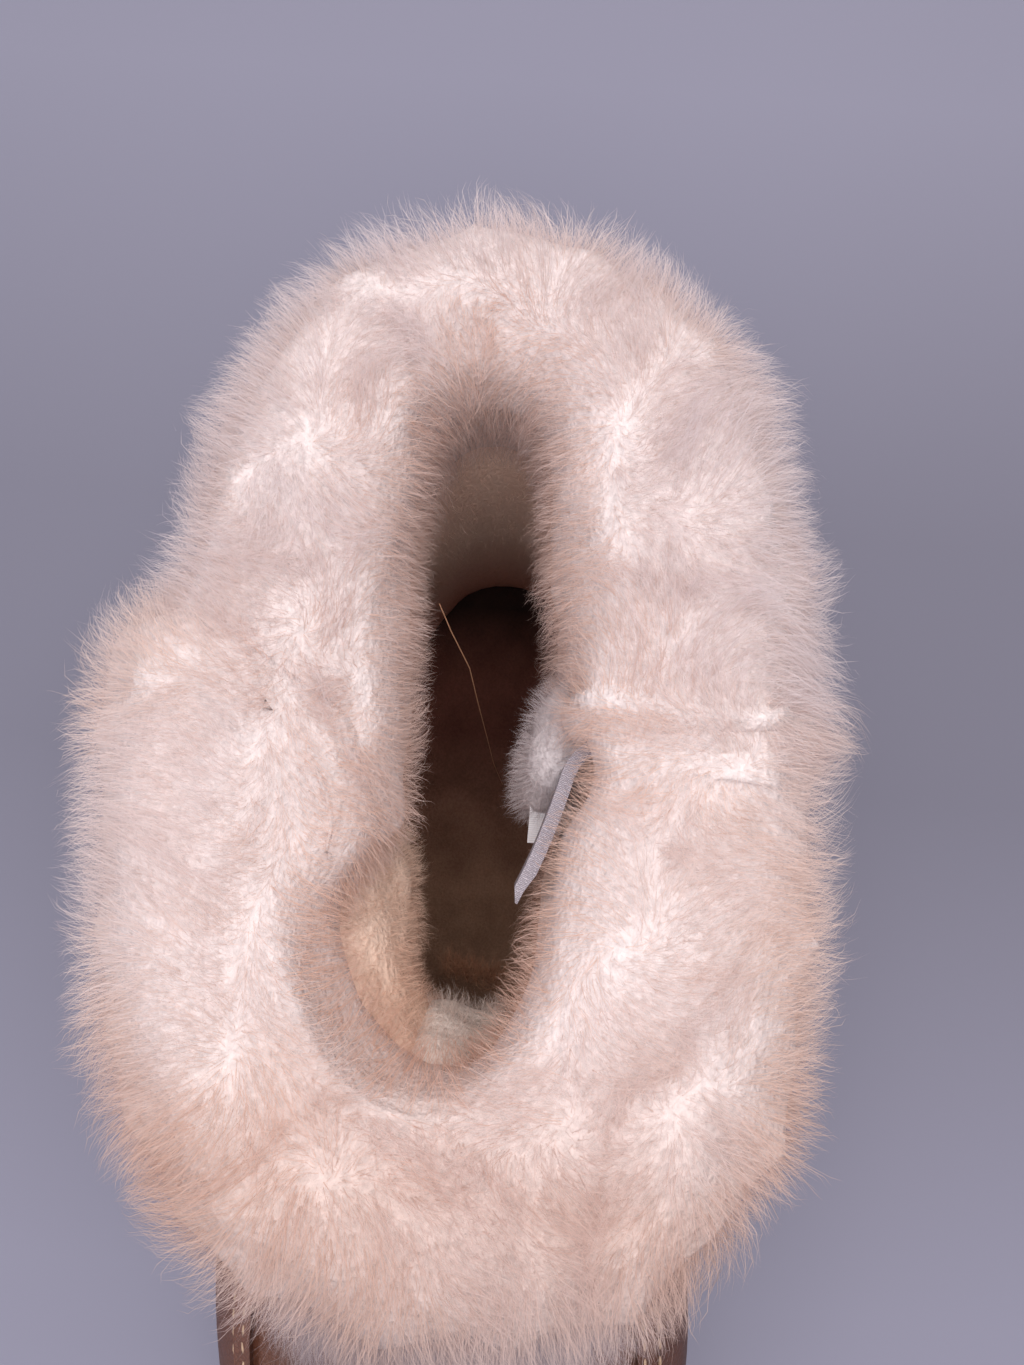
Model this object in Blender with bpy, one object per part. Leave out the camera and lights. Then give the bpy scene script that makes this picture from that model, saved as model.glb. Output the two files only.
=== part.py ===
"""A right mukluk boot: an ankle boot of brown leather with a moccasin toe, a lugged rubber sole and a thick sheepskin
cuff in two halves that rolls over the collar.

Metres. +X points to the toe, +Z up and +Y to the boot's inner (medial) side. The origin is on the floor under the
middle of the heel seat.
"""

import math

import bmesh
import bpy
from mathutils import Vector

# Leather form
FORM_LENGTH = 0.284  # from the back of the heel to the toe tip
HEEL_SETBACK = 0.056  # from the origin back to the heel's back
BALL_WIDTH = 0.116
COLLAR_HEIGHT = 0.152  # leather top edge above the floor
COLLAR_LENGTH = 0.124
COLLAR_WIDTH = 0.062
COLLAR_CENTRE_X = 0.0055
COLLAR_CENTRE_Y = -0.002
WALL = 0.0022  # leather
LAP_STEP = 0.0012  # the shaft lies this much proud of the vamp

# Sole
HEEL_THICKNESS = 0.020
FOREFOOT_THICKNESS = 0.014
TOE_SPRING = 0.008
ARCH_RISE = 0.006
LEDGE = 0.0045  # storm ledge, out from the leather's foot
LEDGE_THICKNESS = 0.004
EDGE_ROUND = 0.0007
SIDE_INSET = 0.0022  # the side wall lies this much inside the ledge
RIB_PROUD = 0.0010
RIBS = (0.22, 0.46)  # middle heights of the side wall's ribs, as shares of the way from the ledge to the floor
RIB_HALF = 0.045  # half height of a rib's face, as such a share
RIB_FLANK = 0.05
FOOT_RIB = (0.72, 0.94)  # the wide band above the tread
TREAD_DEPTH = 0.0040
TREAD_GROOVE = 0.0052
CHEVRON = 0.008  # how far the tread's grooves sweep back to the sides
INSOLE_THICKNESS = 0.005
INSOLE_PLAY = 0.0020  # from the leather's inner face to the insole's edge

# Moccasin apron
APRON_THICKNESS = 0.0016
SEAM_HEIGHT = 0.0022  # the sewn edge stands this much above the plate
SEAM_WIDTH = 0.0042

# Sheepskin cuff
PILE = 0.030  # full depth of the wool on the outer side
CUFF_RISE = 0.017  # wool above the collar edge
CUFF_DROP = 0.046  # how far the outer side hangs below the collar edge
LINING_DROP = 0.038  # how far the inner side reaches down into the shaft
LOCK_HEIGHT = 0.0045
TIER_DIP = 0.0070  # depth of the trough between the roll and the flap that hangs over the instep
FLAP_THINNING = 0.45  # share of the roll's thickness that the flap below the trough lacks
SPLIT_GAP = 0.0010  # between the two halves
NOTCH = 0.0040  # between them at the inner side, where the loop comes through

# Webbing loop and label
LOOP_THICKNESS = 0.0021
LOOP_WIDTH = 0.010
LOOP_TOP = 0.0005  # the loop's upper edge, below the collar edge
LABEL_THICKNESS = 0.0004
LABEL_WIDTH = 0.0085
LABEL_REACH = 0.0120
LABEL_SLOPE = 0.0060

GAP = 0.0003  # between pieces that meet
AROUND = 28
RINGS = 24
SOLE_STATIONS = 24
CUFF_STEPS = 38  # round each half of the cuff

# Foot part of the last, toe to ankle. top and bottom are the two ends of a section in the side view: top_x is a share
# of the way from the collar's front to the toe tip, bottom_x a share of FORM_LENGTH from the heel's back and z a share
# of COLLAR_HEIGHT. medial and lateral are shares of BALL_WIDTH, widest is where along the section, from bottom to top,
# it is widest, and arch and base say how square its ends are.
FOOT_COLUMNS = ("top_x", "top_z", "bottom_x", "bottom_z", "medial", "lateral", "widest", "arch", "base")
FOOT_SECTIONS = (
    (0.996, 0.205, 0.998, 0.112, 0.070, 0.068, 0.50, 2.0, 2.0),
    (0.973, 0.268, 0.991, 0.066, 0.192, 0.172, 0.50, 2.0, 2.3),
    (0.919, 0.335, 0.965, 0.039, 0.308, 0.272, 0.50, 2.1, 2.7),
    (0.820, 0.398, 0.912, 0.026, 0.408, 0.366, 0.50, 2.2, 3.0),
    (0.681, 0.452, 0.834, 0.020, 0.472, 0.436, 0.50, 2.3, 3.2),
    (0.526, 0.503, 0.732, 0.020, 0.502, 0.482, 0.50, 2.4, 3.2),
    (0.390, 0.552, 0.627, 0.026, 0.484, 0.500, 0.48, 2.3, 3.2),
    (0.271, 0.602, 0.514, 0.039, 0.434, 0.474, 0.45, 2.2, 3.1),
    (0.172, 0.665, 0.394, 0.052, 0.384, 0.424, 0.43, 2.1, 3.0),
    (0.110, 0.738, 0.268, 0.059, 0.356, 0.384, 0.42, 2.0, 2.9),
    (0.073, 0.800, 0.148, 0.059, 0.344, 0.358, 0.42, 2.0, 2.8),
    (0.053, 0.842, 0.045, 0.085, 0.332, 0.342, 0.44, 2.0, 2.7),
    (0.039, 0.876, 0.012, 0.160, 0.324, 0.334, 0.46, 2.0, 2.5),
    (0.027, 0.905, 0.000, 0.276, 0.314, 0.324, 0.48, 2.0, 2.3),
)

# Shaft, ankle to collar. front and back are shares of COLLAR_LENGTH from the collar's centre, the heights are shares
# of COLLAR_HEIGHT, and medial and lateral are shares of COLLAR_WIDTH.
SHAFT_COLUMNS = ("front", "front_z", "back", "back_z", "medial", "lateral")
SHAFT_SECTIONS = (
    (0.523, 0.931, -0.474, 0.408, 0.570, 0.585),
    (0.515, 0.954, -0.464, 0.566, 0.555, 0.565),
    (0.507, 0.977, -0.474, 0.750, 0.528, 0.532),
    (0.500, 1.000, -0.500, 1.000, 0.500, 0.500),
)
LAP_SECTION = 8.0  # the section where the shaft laps over the vamp

# Apron seen from above: along is a share of FORM_LENGTH, medial and lateral are shares of BALL_WIDTH.
APRON_COLUMNS = ("along", "medial", "lateral")
APRON_OUTLINE = (
    (0.543, 0.270, 0.290),
    (0.600, 0.345, 0.365),
    (0.670, 0.385, 0.390),
    (0.730, 0.395, 0.380),
    (0.790, 0.375, 0.345),
    (0.840, 0.325, 0.290),
    (0.878, 0.240, 0.210),
    (0.900, 0.120, 0.100),
)

# Grooves between the lugs, as shares of FORM_LENGTH along the sole's middle
TREAD_GROOVES = (0.055, 0.115, 0.265, 0.520, 0.570, 0.620, 0.670, 0.735, 0.785, 0.835, 0.885, 0.935)
CENTRE_GROOVES = ((0.560, 0.895),)  # first and last share of each groove that runs along the sole

# Sheepskin round the collar. angle goes from the inner side (0) over the front (90) to the outer side (180), and
# below 0 over the back. inner is a share of the way from the leather to the middle of the opening, outer a share of
# PILE, rise of CUFF_RISE and drop of CUFF_DROP.
CUFF_COLUMNS = ("angle", "inner", "outer", "rise", "drop")
FRONT_CUFF = (
    (0.0, 0.33, 0.76, 0.86, 0.86),
    (14.0, 0.41, 0.86, 0.98, 1.10),
    (30.0, 0.54, 1.02, 1.00, 1.60),
    (50.0, 0.54, 1.24, 0.98, 2.20),
    (68.0, 0.26, 1.28, 0.94, 2.42),
    (90.0, 0.08, 1.20, 0.90, 2.48),
    (112.0, 0.08, 1.20, 0.94, 2.40),
    (130.0, 0.10, 1.14, 1.00, 2.10),
    (150.0, 0.24, 1.00, 1.00, 1.56),
    (172.0, 0.34, 0.92, 1.00, 1.04),
    (208.0, 0.34, 0.94, 0.92, 0.86),
)
BACK_CUFF = (
    (16.0, 0.62, 0.82, 0.86, 0.84),
    (0.0, 0.64, 0.84, 0.94, 0.92),
    (-40.0, 0.66, 0.80, 1.00, 0.98),
    (-90.0, 0.33, 0.44, 1.00, 1.00),
    (-140.0, 0.62, 0.66, 1.00, 0.96),
    (-165.0, 0.74, 0.58, 0.96, 0.90),
    (-198.0, 0.80, 0.56, 0.84, 0.84),
    (-220.0, 0.60, 0.56, 0.66, 0.70),
)
SPINE = 0.20  # half length of the opening's middle line, as a share of COLLAR_LENGTH

# Outline of the wool across the collar: across is a share of the inner (below 0) or outer thickness, and up a share
# of the rise (above 0), of the inner drop or of the outer drop (below 0).
PROFILE_COLUMNS = ("across", "up")
WOOL_PROFILE = (
    (-0.55, -0.98),
    (-0.92, -0.80),
    (-1.00, -0.45),
    (-0.96, -0.05),
    (-0.74, 0.62),
    (-0.28, 0.96),
    (0.24, 1.00),
    (0.64, 0.72),
    (0.90, 0.22),
    (1.00, -0.20),
    (0.98, -0.55),
    (0.82, -0.86),
    (0.42, -1.00),
)
PROFILE_STEPS = 2  # points from each row of the profile to the next

# Where the halves of the cuff part, seen from above: along is a share of COLLAR_LENGTH and aside a share of
# COLLAR_WIDTH, from the collar's centre. The back half's free end lies inside the front half at the outer side.
SPLIT_LINE = (
    (-0.060, -2.500),
    (-0.068, -0.860),
    (0.020, -0.560),
    (0.125, -0.375),
    (0.250, -0.315),
    (0.275, -0.150),
    (0.200, 0.010),
    (0.068, 0.100),
)

# The loop seen from above, from its sewn end to its fold, as shares like those of the split
LOOP_PATH = ((0.072, 0.440), (0.074, 0.330), (0.098, 0.272), (0.150, 0.240), (0.212, 0.200), (0.272, 0.150))
LABEL_PLACE = (0.115, 0.240)  # middle of the label's sewn end
LABEL_HEADING = -18.0  # degrees, from the toe's direction towards the inner side

LEATHER = ("brown_leather", (0.105, 0.036, 0.020), 0.55)
APRON_LEATHER = ("apron_leather", (0.120, 0.042, 0.024), 0.55)
SHEEPSKIN = ("cream_sheepskin", (0.800, 0.680, 0.610), 0.95)
RUBBER = ("dark_rubber", (0.030, 0.022, 0.018), 0.75)
FELT = ("grey_brown_felt", (0.150, 0.115, 0.090), 0.95)
WEBBING = ("grey_webbing", (0.360, 0.340, 0.380), 0.85)
LABEL_CLOTH = ("white_label_cloth", (0.800, 0.780, 0.780), 0.80)


def clear_scene():
    for obj in list(bpy.data.objects):
        bpy.data.objects.remove(obj)


def material(finish):
    name, colour, roughness = finish
    made = bpy.data.materials.get(name)
    if made:
        return made
    made = bpy.data.materials.new(name)
    made.use_nodes = True
    shader = made.node_tree.nodes["Principled BSDF"]
    shader.inputs["Base Color"].default_value = (*colour, 1.0)
    shader.inputs["Roughness"].default_value = roughness
    shader.inputs["Metallic"].default_value = 0.0
    return made


def new_object(name, bm, finish=None, sharp_angle=40.0):
    """An object from a bmesh, shaded smooth. Without a finish it is a cutter, which a render leaves out."""
    bmesh.ops.recalc_face_normals(bm, faces=bm.faces)
    mesh = bpy.data.meshes.new(name)
    bm.to_mesh(mesh)
    bm.free()
    mesh.shade_smooth()
    mesh.set_sharp_from_angle(angle=math.radians(sharp_angle))
    obj = bpy.data.objects.new(name, mesh)
    bpy.context.scene.collection.objects.link(obj)
    if finish is None:
        obj.hide_render = True
        obj.display_type = "WIRE"
    else:
        mesh.materials.append(material(finish))
    return obj


def boolean(obj, operation, other):
    modifier = obj.modifiers.new(f"{operation.lower()} {other.name}", "BOOLEAN")
    modifier.operation = operation
    modifier.object = other
    modifier.solver = "EXACT"


def smooth_between(values, position):
    """Catmull-Rom value at a fractional place along a list of numbers."""
    last = len(values) - 1
    position = min(max(position, 0.0), float(last))
    low = min(int(position), last - 1)
    t = position - low
    before = values[max(low - 1, 0)]
    start, end = values[low], values[low + 1]
    after = values[min(low + 2, last)]
    return start + 0.5 * t * (
        end - before + t * (2 * before - 5 * start + 4 * end - after + t * (3 * (start - end) + after - before))
    )


def ease(t):
    """0 to 1 with level ends."""
    t = min(max(t, 0.0), 1.0)
    return t * t * (3 - 2 * t)


def read_table(table, columns, key, value, at):
    """Value of one column at a place between the rows, eased from row to row."""
    rows = sorted((row[columns.index(key)], row[columns.index(value)]) for row in table)
    if at <= rows[0][0]:
        return rows[0][1]
    for (low, start), (high, end) in zip(rows, rows[1:]):
        if at <= high:
            return start + (end - start) * ease((at - low) / (high - low))
    return rows[-1][1]


def all_sections():
    """Every section of the last in metres, toe tip first."""
    made = []
    collar_front = COLLAR_CENTRE_X + COLLAR_LENGTH / 2
    toe_tip = FORM_LENGTH - HEEL_SETBACK
    for row in FOOT_SECTIONS:
        r = dict(zip(FOOT_COLUMNS, row))
        r["top_x"] = collar_front + r["top_x"] * (toe_tip - collar_front)
        r["bottom_x"] = r["bottom_x"] * FORM_LENGTH - HEEL_SETBACK
        r["top_z"] *= COLLAR_HEIGHT
        r["bottom_z"] *= COLLAR_HEIGHT
        r["medial"] *= BALL_WIDTH
        r["lateral"] *= BALL_WIDTH
        r["centre"] = 0.0
        made.append(r)
    for row in SHAFT_SECTIONS:
        r = dict(zip(SHAFT_COLUMNS, row))
        made.append(
            {
                "top_x": COLLAR_CENTRE_X + r["front"] * COLLAR_LENGTH,
                "top_z": r["front_z"] * COLLAR_HEIGHT,
                "bottom_x": COLLAR_CENTRE_X + r["back"] * COLLAR_LENGTH,
                "bottom_z": r["back_z"] * COLLAR_HEIGHT,
                "medial": r["medial"] * COLLAR_WIDTH,
                "lateral": r["lateral"] * COLLAR_WIDTH,
                "centre": COLLAR_CENTRE_Y * r["back_z"],
                "widest": 0.5,
                "arch": 2.0,
                "base": 2.0,
            }
        )
    return made


SECTIONS = all_sections()
COLLAR = len(SECTIONS) - 1  # place of the collar edge along the last
SECTION_LISTS = {key: [section[key] for section in SECTIONS] for key in SECTIONS[-1]}


def on_last(place, angle):
    """Point on the last's surface. angle is in degrees: 0 the inner side, 90 the top, 180 the outer side."""
    s = {key: smooth_between(values, place) for key, values in SECTION_LISTS.items()}
    cos, sin = math.cos(math.radians(angle)), math.sin(math.radians(angle))
    power = 2 / (s["arch"] if sin > 0 else s["base"])
    half = s["medial"] if cos > 0 else s["lateral"]
    y = s["centre"] + math.copysign(half * abs(cos) ** power, cos)
    if sin > 0:
        along = s["widest"] + (1 - s["widest"]) * sin**power
    else:
        along = s["widest"] * (1 - abs(sin) ** power)
    x = s["bottom_x"] + (s["top_x"] - s["bottom_x"]) * along
    z = s["bottom_z"] + (s["top_z"] - s["bottom_z"]) * along
    return Vector((x, y, z))


def out_of_last(place, angle):
    """Unit vector that leaves the last's surface."""
    place_step, angle_step = 0.04, 1.5
    ahead = on_last(min(place + place_step, COLLAR), angle)
    behind = on_last(max(place - place_step, 0.0), angle)
    across = on_last(place, angle + angle_step) - on_last(place, angle - angle_step)
    return (ahead - behind).cross(across).normalized()


def on_leather(place, angle, proud=0.0):
    """Point a distance out from the leather's outer face, which is a step higher where the shaft laps the vamp."""
    step = LAP_STEP if place > LAP_SECTION else 0.0
    return on_last(place, angle) + out_of_last(place, angle) * (step + proud)


def under_leather(place, angle, deep=0.0):
    """Point a distance in from the leather's inner face."""
    return on_last(place, angle) - out_of_last(place, angle) * (WALL + deep)


def bridge(bm, first, second, triangles=False):
    """Faces between two rings of as many vertices. Triangles all have the same slant, so that offset skins match."""
    for i in range(len(first)):
        j = (i + 1) % len(first)
        if triangles:
            bm.faces.new((first[i], first[j], second[j]))
            bm.faces.new((first[i], second[j], second[i]))
        else:
            bm.faces.new((first[i], first[j], second[j], second[i]))


def ring_places(first=0.0):
    """Places of the rings along the last, with two close together at the step of the lap."""
    step = 0.02
    even = [COLLAR * i / (RINGS - 1) for i in range(RINGS)]
    kept = [place for place in even if abs(place - LAP_SECTION) > 4 * step]
    kept += [LAP_SECTION - step, LAP_SECTION + step]
    return sorted(place for place in kept if place >= first)


def leather_shell(name, places, inner, outer, rim=0.0, finish=None):
    """A wall from one (surface, distance) of the last to another, open at the collar and where it isn't the toe."""
    bm = bmesh.new()
    skins = []
    for surface, distance in (outer, inner):
        points = [
            [surface(place, 360 * i / AROUND - 90, distance) for i in range(AROUND)]
            for place in places
        ]
        if rim:
            points.append([point + Vector((0, 0, rim)) for point in points[-1]])
        rings = [[bm.verts.new(point) for point in ring] for ring in points]
        for first, second in zip(rings, rings[1:]):
            bridge(bm, first, second, triangles=True)
        skins.append(rings)
    bridge(bm, skins[0][-1], skins[1][-1])
    if places[0] == 0.0:
        bm.faces.new(skins[0][0])
        bm.faces.new(skins[1][0])
    else:
        bridge(bm, skins[0][0], skins[1][0])
    return new_object(name, bm, finish)


def share_along(x):
    return (x + HEEL_SETBACK) / FORM_LENGTH


def place_along(share):
    return share * FORM_LENGTH - HEEL_SETBACK


def toe_rise(share):
    """Rise of the sole's two faces towards the toe."""
    return TOE_SPRING * min(max((share - 0.75) / 0.27, 0.0), 1.1) ** 1.8


def sole_top(x):
    """Height of the outsole's top face: level under the heel, lower at the ball, rising at the toe."""
    share = share_along(x)
    return HEEL_THICKNESS + (FOREFOOT_THICKNESS - HEEL_THICKNESS) * ease((share - 0.28) / 0.34) + toe_rise(share)


def sole_bottom(x):
    """Height of the outsole's underside: flat at the heel and the ball, arched between, sprung at the toe."""
    share = share_along(x)
    breast, front_of_arch = ease((share - 0.295) / 0.035), ease((0.50 - share) / 0.13)
    return ARCH_RISE * min(breast, front_of_arch) + toe_rise(share)


def sole_stations():
    """Places along the foot where the sole's faces bend, in metres, from behind the heel to beyond the toe."""
    first, last = place_along(0.0) - 2 * LEDGE, place_along(1.0) + 2 * LEDGE
    return [first + (last - first) * i / SOLE_STATIONS for i in range(SOLE_STATIONS + 1)]


def block_under(name, height):
    """A block, wider than the boot, whose top follows a height along the foot."""
    bm = bmesh.new()
    stations = sole_stations()
    outline = [(stations[0], -HEEL_THICKNESS)]
    outline += [(x, height(x)) for x in stations]
    outline += [(stations[-1], -HEEL_THICKNESS)]
    sides = [[bm.verts.new((x, y, z)) for x, z in outline] for y in (-BALL_WIDTH, BALL_WIDTH)]
    bridge(bm, *sides)
    for side in sides:
        bm.faces.new(side)
    return new_object(name, bm)


def prism(name, outline, low, high):
    """A closed upright cutter over an outline of (x, y) points."""
    bm = bmesh.new()
    ends = [[bm.verts.new((x, y, z)) for x, y in outline] for z in (low, high)]
    bridge(bm, *ends)
    for end in ends:
        bm.faces.new(end)
    return new_object(name, bm)


def upper():
    """The leather: one wall from the toe tip to the collar, open at the collar and above the sole."""
    obj = leather_shell("upper", ring_places(), (under_leather, 0.0), (on_leather, 0.0), finish=LEATHER)
    boolean(obj, "DIFFERENCE", block_under("below_the_sole_line", lambda x: sole_top(x) + GAP))


def halve(low, high, keep_low):
    """Narrows a range to the place where a test stops holding."""
    for _ in range(24):
        middle = (low + high) / 2
        if keep_low(middle):
            low = middle
        else:
            high = middle
    return low


def foot_line():
    """(x, half width) points of the leather's foot on the sole, toe to heel, for the inner and the outer side."""
    heel = halve(9.0, 12.5, lambda place: on_last(place, -90).z < sole_top(on_last(place, -90).x))
    sides = []
    for side in (1, -1):
        points = []
        for i in range(61):
            place = heel * math.sin(math.pi / 2 * i / 60)

            def above(down, place=place, side=side):
                point = on_last(place, -down if side == 1 else 180 + down)
                return point.z > sole_top(point.x)

            down = halve(0.0, 90.0, above)
            point = on_last(place, -down if side == 1 else 180 + down)
            points.append((point.x, abs(point.y)))
        sides.append(points)
    return sides


FOOT_LINE = foot_line()


def foot_half_width(x, side):
    """Half width of the leather's foot on the sole, at a place along the foot, inner side 0 and outer side 1."""
    points = sorted(FOOT_LINE[side])
    for (low, start), (high, end) in zip(points, points[1:]):
        if x <= high:
            return start + (end - start) * max(x - low, 0.0) / (high - low)
    return points[-1][1]


def foot_loop(out):
    """Closed outline, heel middle first over the inner side, a distance out from the leather's foot."""
    heel = max(min(FOOT_LINE[0])[0], min(FOOT_LINE[1])[0])
    toe = min(max(FOOT_LINE[0])[0], max(FOOT_LINE[1])[0])
    count = SOLE_STATIONS
    along = [heel + (toe - heel) * (1 - math.cos(math.pi * i / count)) / 2 for i in range(count + 1)]
    inner = [Vector((x, foot_half_width(x, 0))) for x in along[1:]]
    outer = [Vector((x, -foot_half_width(x, 1))) for x in along[1:]]
    loop = [Vector((heel, 0.0))] + inner + outer[::-1]
    moved = []
    for i, point in enumerate(loop):
        along_edge = (loop[(i + 1) % len(loop)] - loop[i - 1]).normalized()
        moved.append(point + Vector((-along_edge.y, along_edge.x)) * out)
    return moved


def plate(name, finish, loops, sharp_angle=40.0):
    """A closed plate of stacked foot loops, top first. Each loop has its distance out and its height function."""
    bm = bmesh.new()
    rings = []
    for out, height in loops:
        rings.append([bm.verts.new((point.x, point.y, height(point.x))) for point in foot_loop(out)])
    for first, second in zip(rings, rings[1:]):
        bridge(bm, first, second)
    for ring in (rings[0], rings[-1]):
        inner, outer = ring[1 : SOLE_STATIONS + 1], ring[:SOLE_STATIONS:-1]
        bm.faces.new((ring[0], inner[0], outer[0]))
        for i in range(SOLE_STATIONS - 1):
            bm.faces.new((inner[i], inner[i + 1], outer[i + 1], outer[i]))
    return new_object(name, bm, finish, sharp_angle)


def between_ledge_and_floor(share):
    """Height function a share of the way from the ledge's underside down to the sole's bottom."""
    return lambda x: (sole_top(x) - LEDGE_THICKNESS) * (1 - share) + sole_bottom(x) * share


def outsole():
    side = LEDGE - SIDE_INSET
    loops = [
        (LEDGE - EDGE_ROUND, sole_top),
        (LEDGE, lambda x: sole_top(x) - EDGE_ROUND),
        (LEDGE, lambda x: sole_top(x) - LEDGE_THICKNESS + EDGE_ROUND),
        (LEDGE - EDGE_ROUND, between_ledge_and_floor(0.0)),
        (side, between_ledge_and_floor(0.02)),
    ]
    for rib in RIBS:
        loops += [
            (side, between_ledge_and_floor(rib - RIB_HALF - RIB_FLANK)),
            (side + RIB_PROUD, between_ledge_and_floor(rib - RIB_HALF)),
            (side + RIB_PROUD, between_ledge_and_floor(rib + RIB_HALF)),
            (side, between_ledge_and_floor(rib + RIB_HALF + RIB_FLANK)),
        ]
    loops += [(side + RIB_PROUD, between_ledge_and_floor(share)) for share in FOOT_RIB]
    loops.append((side, sole_bottom))
    obj = plate("outsole", RUBBER, loops)
    boolean(obj, "DIFFERENCE", cross_grooves())
    boolean(obj, "DIFFERENCE", centre_grooves())


def groove_body(bm, sides):
    """One closed groove cutter between two rows of (x, y) points, deep enough to pass out of the sole's bottom."""
    first, second = sides
    corners = first + second[::-1]
    top = [bm.verts.new((x, y, sole_bottom(x) + TREAD_DEPTH)) for x, y in corners]
    foot = [bm.verts.new((x, y, -HEEL_THICKNESS)) for x, y in corners]
    bridge(bm, top, foot)
    rows = len(first)
    for ring in (top, foot):
        for i in range(rows - 1):
            bm.faces.new((ring[i], ring[i + 1], ring[2 * rows - 2 - i], ring[2 * rows - 1 - i]))


def cross_grooves():
    """Chevron grooves over the whole width, which leave the lugs standing."""
    bm = bmesh.new()
    for share in TREAD_GROOVES:
        middle = place_along(share)
        sides = []
        for half in (-TREAD_GROOVE / 2, TREAD_GROOVE / 2):
            sides.append([(middle + half - CHEVRON * abs(y), y * BALL_WIDTH) for y in (-1.0, 0.0, 1.0)])
        groove_body(bm, sides)
    return new_object("cross_grooves", bm)


def centre_grooves():
    bm = bmesh.new()
    steps = 8
    for first, last in CENTRE_GROOVES:
        along = [place_along(first + (last - first) * i / steps) for i in range(steps + 1)]
        groove_body(bm, [[(x, half) for x in along] for half in (-TREAD_GROOVE / 2, TREAD_GROOVE / 2)])
    return new_object("centre_grooves", bm)


def insole():
    inset = -(WALL + INSOLE_PLAY)
    plate(
        "insole",
        FELT,
        [
            (inset - 2 * EDGE_ROUND, lambda x: sole_top(x) + GAP + INSOLE_THICKNESS),
            (inset, lambda x: sole_top(x) + GAP + INSOLE_THICKNESS - 2 * EDGE_ROUND),
            (inset, lambda x: sole_top(x) + GAP + EDGE_ROUND),
            (inset - EDGE_ROUND, lambda x: sole_top(x) + GAP),
        ],
    )


def apron_outline(grow):
    """Closed outline of the apron seen from above, a distance out from its table."""
    steps = 3
    inner, outer = [], []
    for i in range((len(APRON_OUTLINE) - 1) * steps + 1):
        row = {
            key: smooth_between([r[APRON_COLUMNS.index(key)] for r in APRON_OUTLINE], i / steps)
            for key in APRON_COLUMNS
        }
        x = place_along(row["along"])
        inner.append(Vector((x, row["medial"] * BALL_WIDTH)))
        outer.append(Vector((x, -row["lateral"] * BALL_WIDTH)))
    tip = [Vector((place_along(APRON_OUTLINE[-1][0] + 0.006), 0.0))]
    loop = inner + tip + outer[::-1]
    moved = []
    for i, point in enumerate(loop):
        before = (point - loop[i - 1]).normalized()
        after = (loop[(i + 1) % len(loop)] - point).normalized()
        mean = (before + after).normalized()
        mitre = 1 / max(mean.dot(before), 0.6)
        moved.append(point + Vector((-mean.y, mean.x)) * grow * mitre)
    return [(point.x, point.y) for point in moved]


def apron_form(name, low, high, grow, finish=None):
    """A layer over the vamp between two distances from it, cut to the apron's outline."""
    places = [place for place in ring_places(1.0) if place < LAP_SECTION]
    obj = leather_shell(name, places, (on_leather, low), (on_leather, high), finish=finish)
    cutter = prism(f"outline_of_{name}", apron_outline(grow), HEEL_THICKNESS + TOE_SPRING, COLLAR_HEIGHT)
    boolean(obj, "INTERSECT", cutter)
    return obj


def apron():
    """The moccasin plug with its raised sewn edge."""
    full = GAP + APRON_THICKNESS + SEAM_HEIGHT
    obj = apron_form("apron", GAP, full, 0.0, APRON_LEATHER)
    field = apron_form("apron_field", GAP + APRON_THICKNESS, full + SEAM_HEIGHT, -SEAM_WIDTH)
    boolean(obj, "DIFFERENCE", field)


def path_down(angle):
    """(distance, place) pairs down the leather from the collar edge, along one angle."""
    steps = 4
    pairs = [(0.0, float(COLLAR))]
    previous = on_last(COLLAR, angle)
    for i in range(1, (COLLAR - 4) * steps + 1):
        place = COLLAR - i / steps
        point = on_last(place, angle)
        pairs.append((pairs[-1][0] + (point - previous).length, place))
        previous = point
    return pairs


def place_down(pairs, distance):
    for (low, start), (high, end) in zip(pairs, pairs[1:]):
        if distance <= high:
            return start + (end - start) * (distance - low) / (high - low)
    return pairs[-1][1]


def profile_points():
    """The wool's outline as (across, up) pairs, eased between the rows of its table."""
    count = (len(WOOL_PROFILE) - 1) * PROFILE_STEPS
    lists = [[row[column] for row in WOOL_PROFILE] for column in range(len(PROFILE_COLUMNS))]
    return [tuple(smooth_between(values, i / PROFILE_STEPS) for values in lists) for i in range(count + 1)]


def bell(distance, width):
    return math.exp(-((distance / width) ** 2))


def lock_height(column, row, last_row):
    """Height of the wool's locks: two columns and three rows make one lock, staggered from row to row."""
    if row in (0, last_row):
        return 0.0
    band = row // 3
    ridge = 1.0 if (column + band) % 2 == 0 else 0.1
    variety = 0.78 + 0.22 * math.sin(1.7 * column + 2.3 * band)
    return LOCK_HEIGHT * ridge * variety * (0.4, 0.8, 1.0)[row % 3]


def spine_point(angle, height):
    """The middle of the opening, across from one angle round the collar."""
    return Vector((COLLAR_CENTRE_X + SPINE * COLLAR_LENGTH * math.sin(math.radians(angle)), COLLAR_CENTRE_Y, height))


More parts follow.
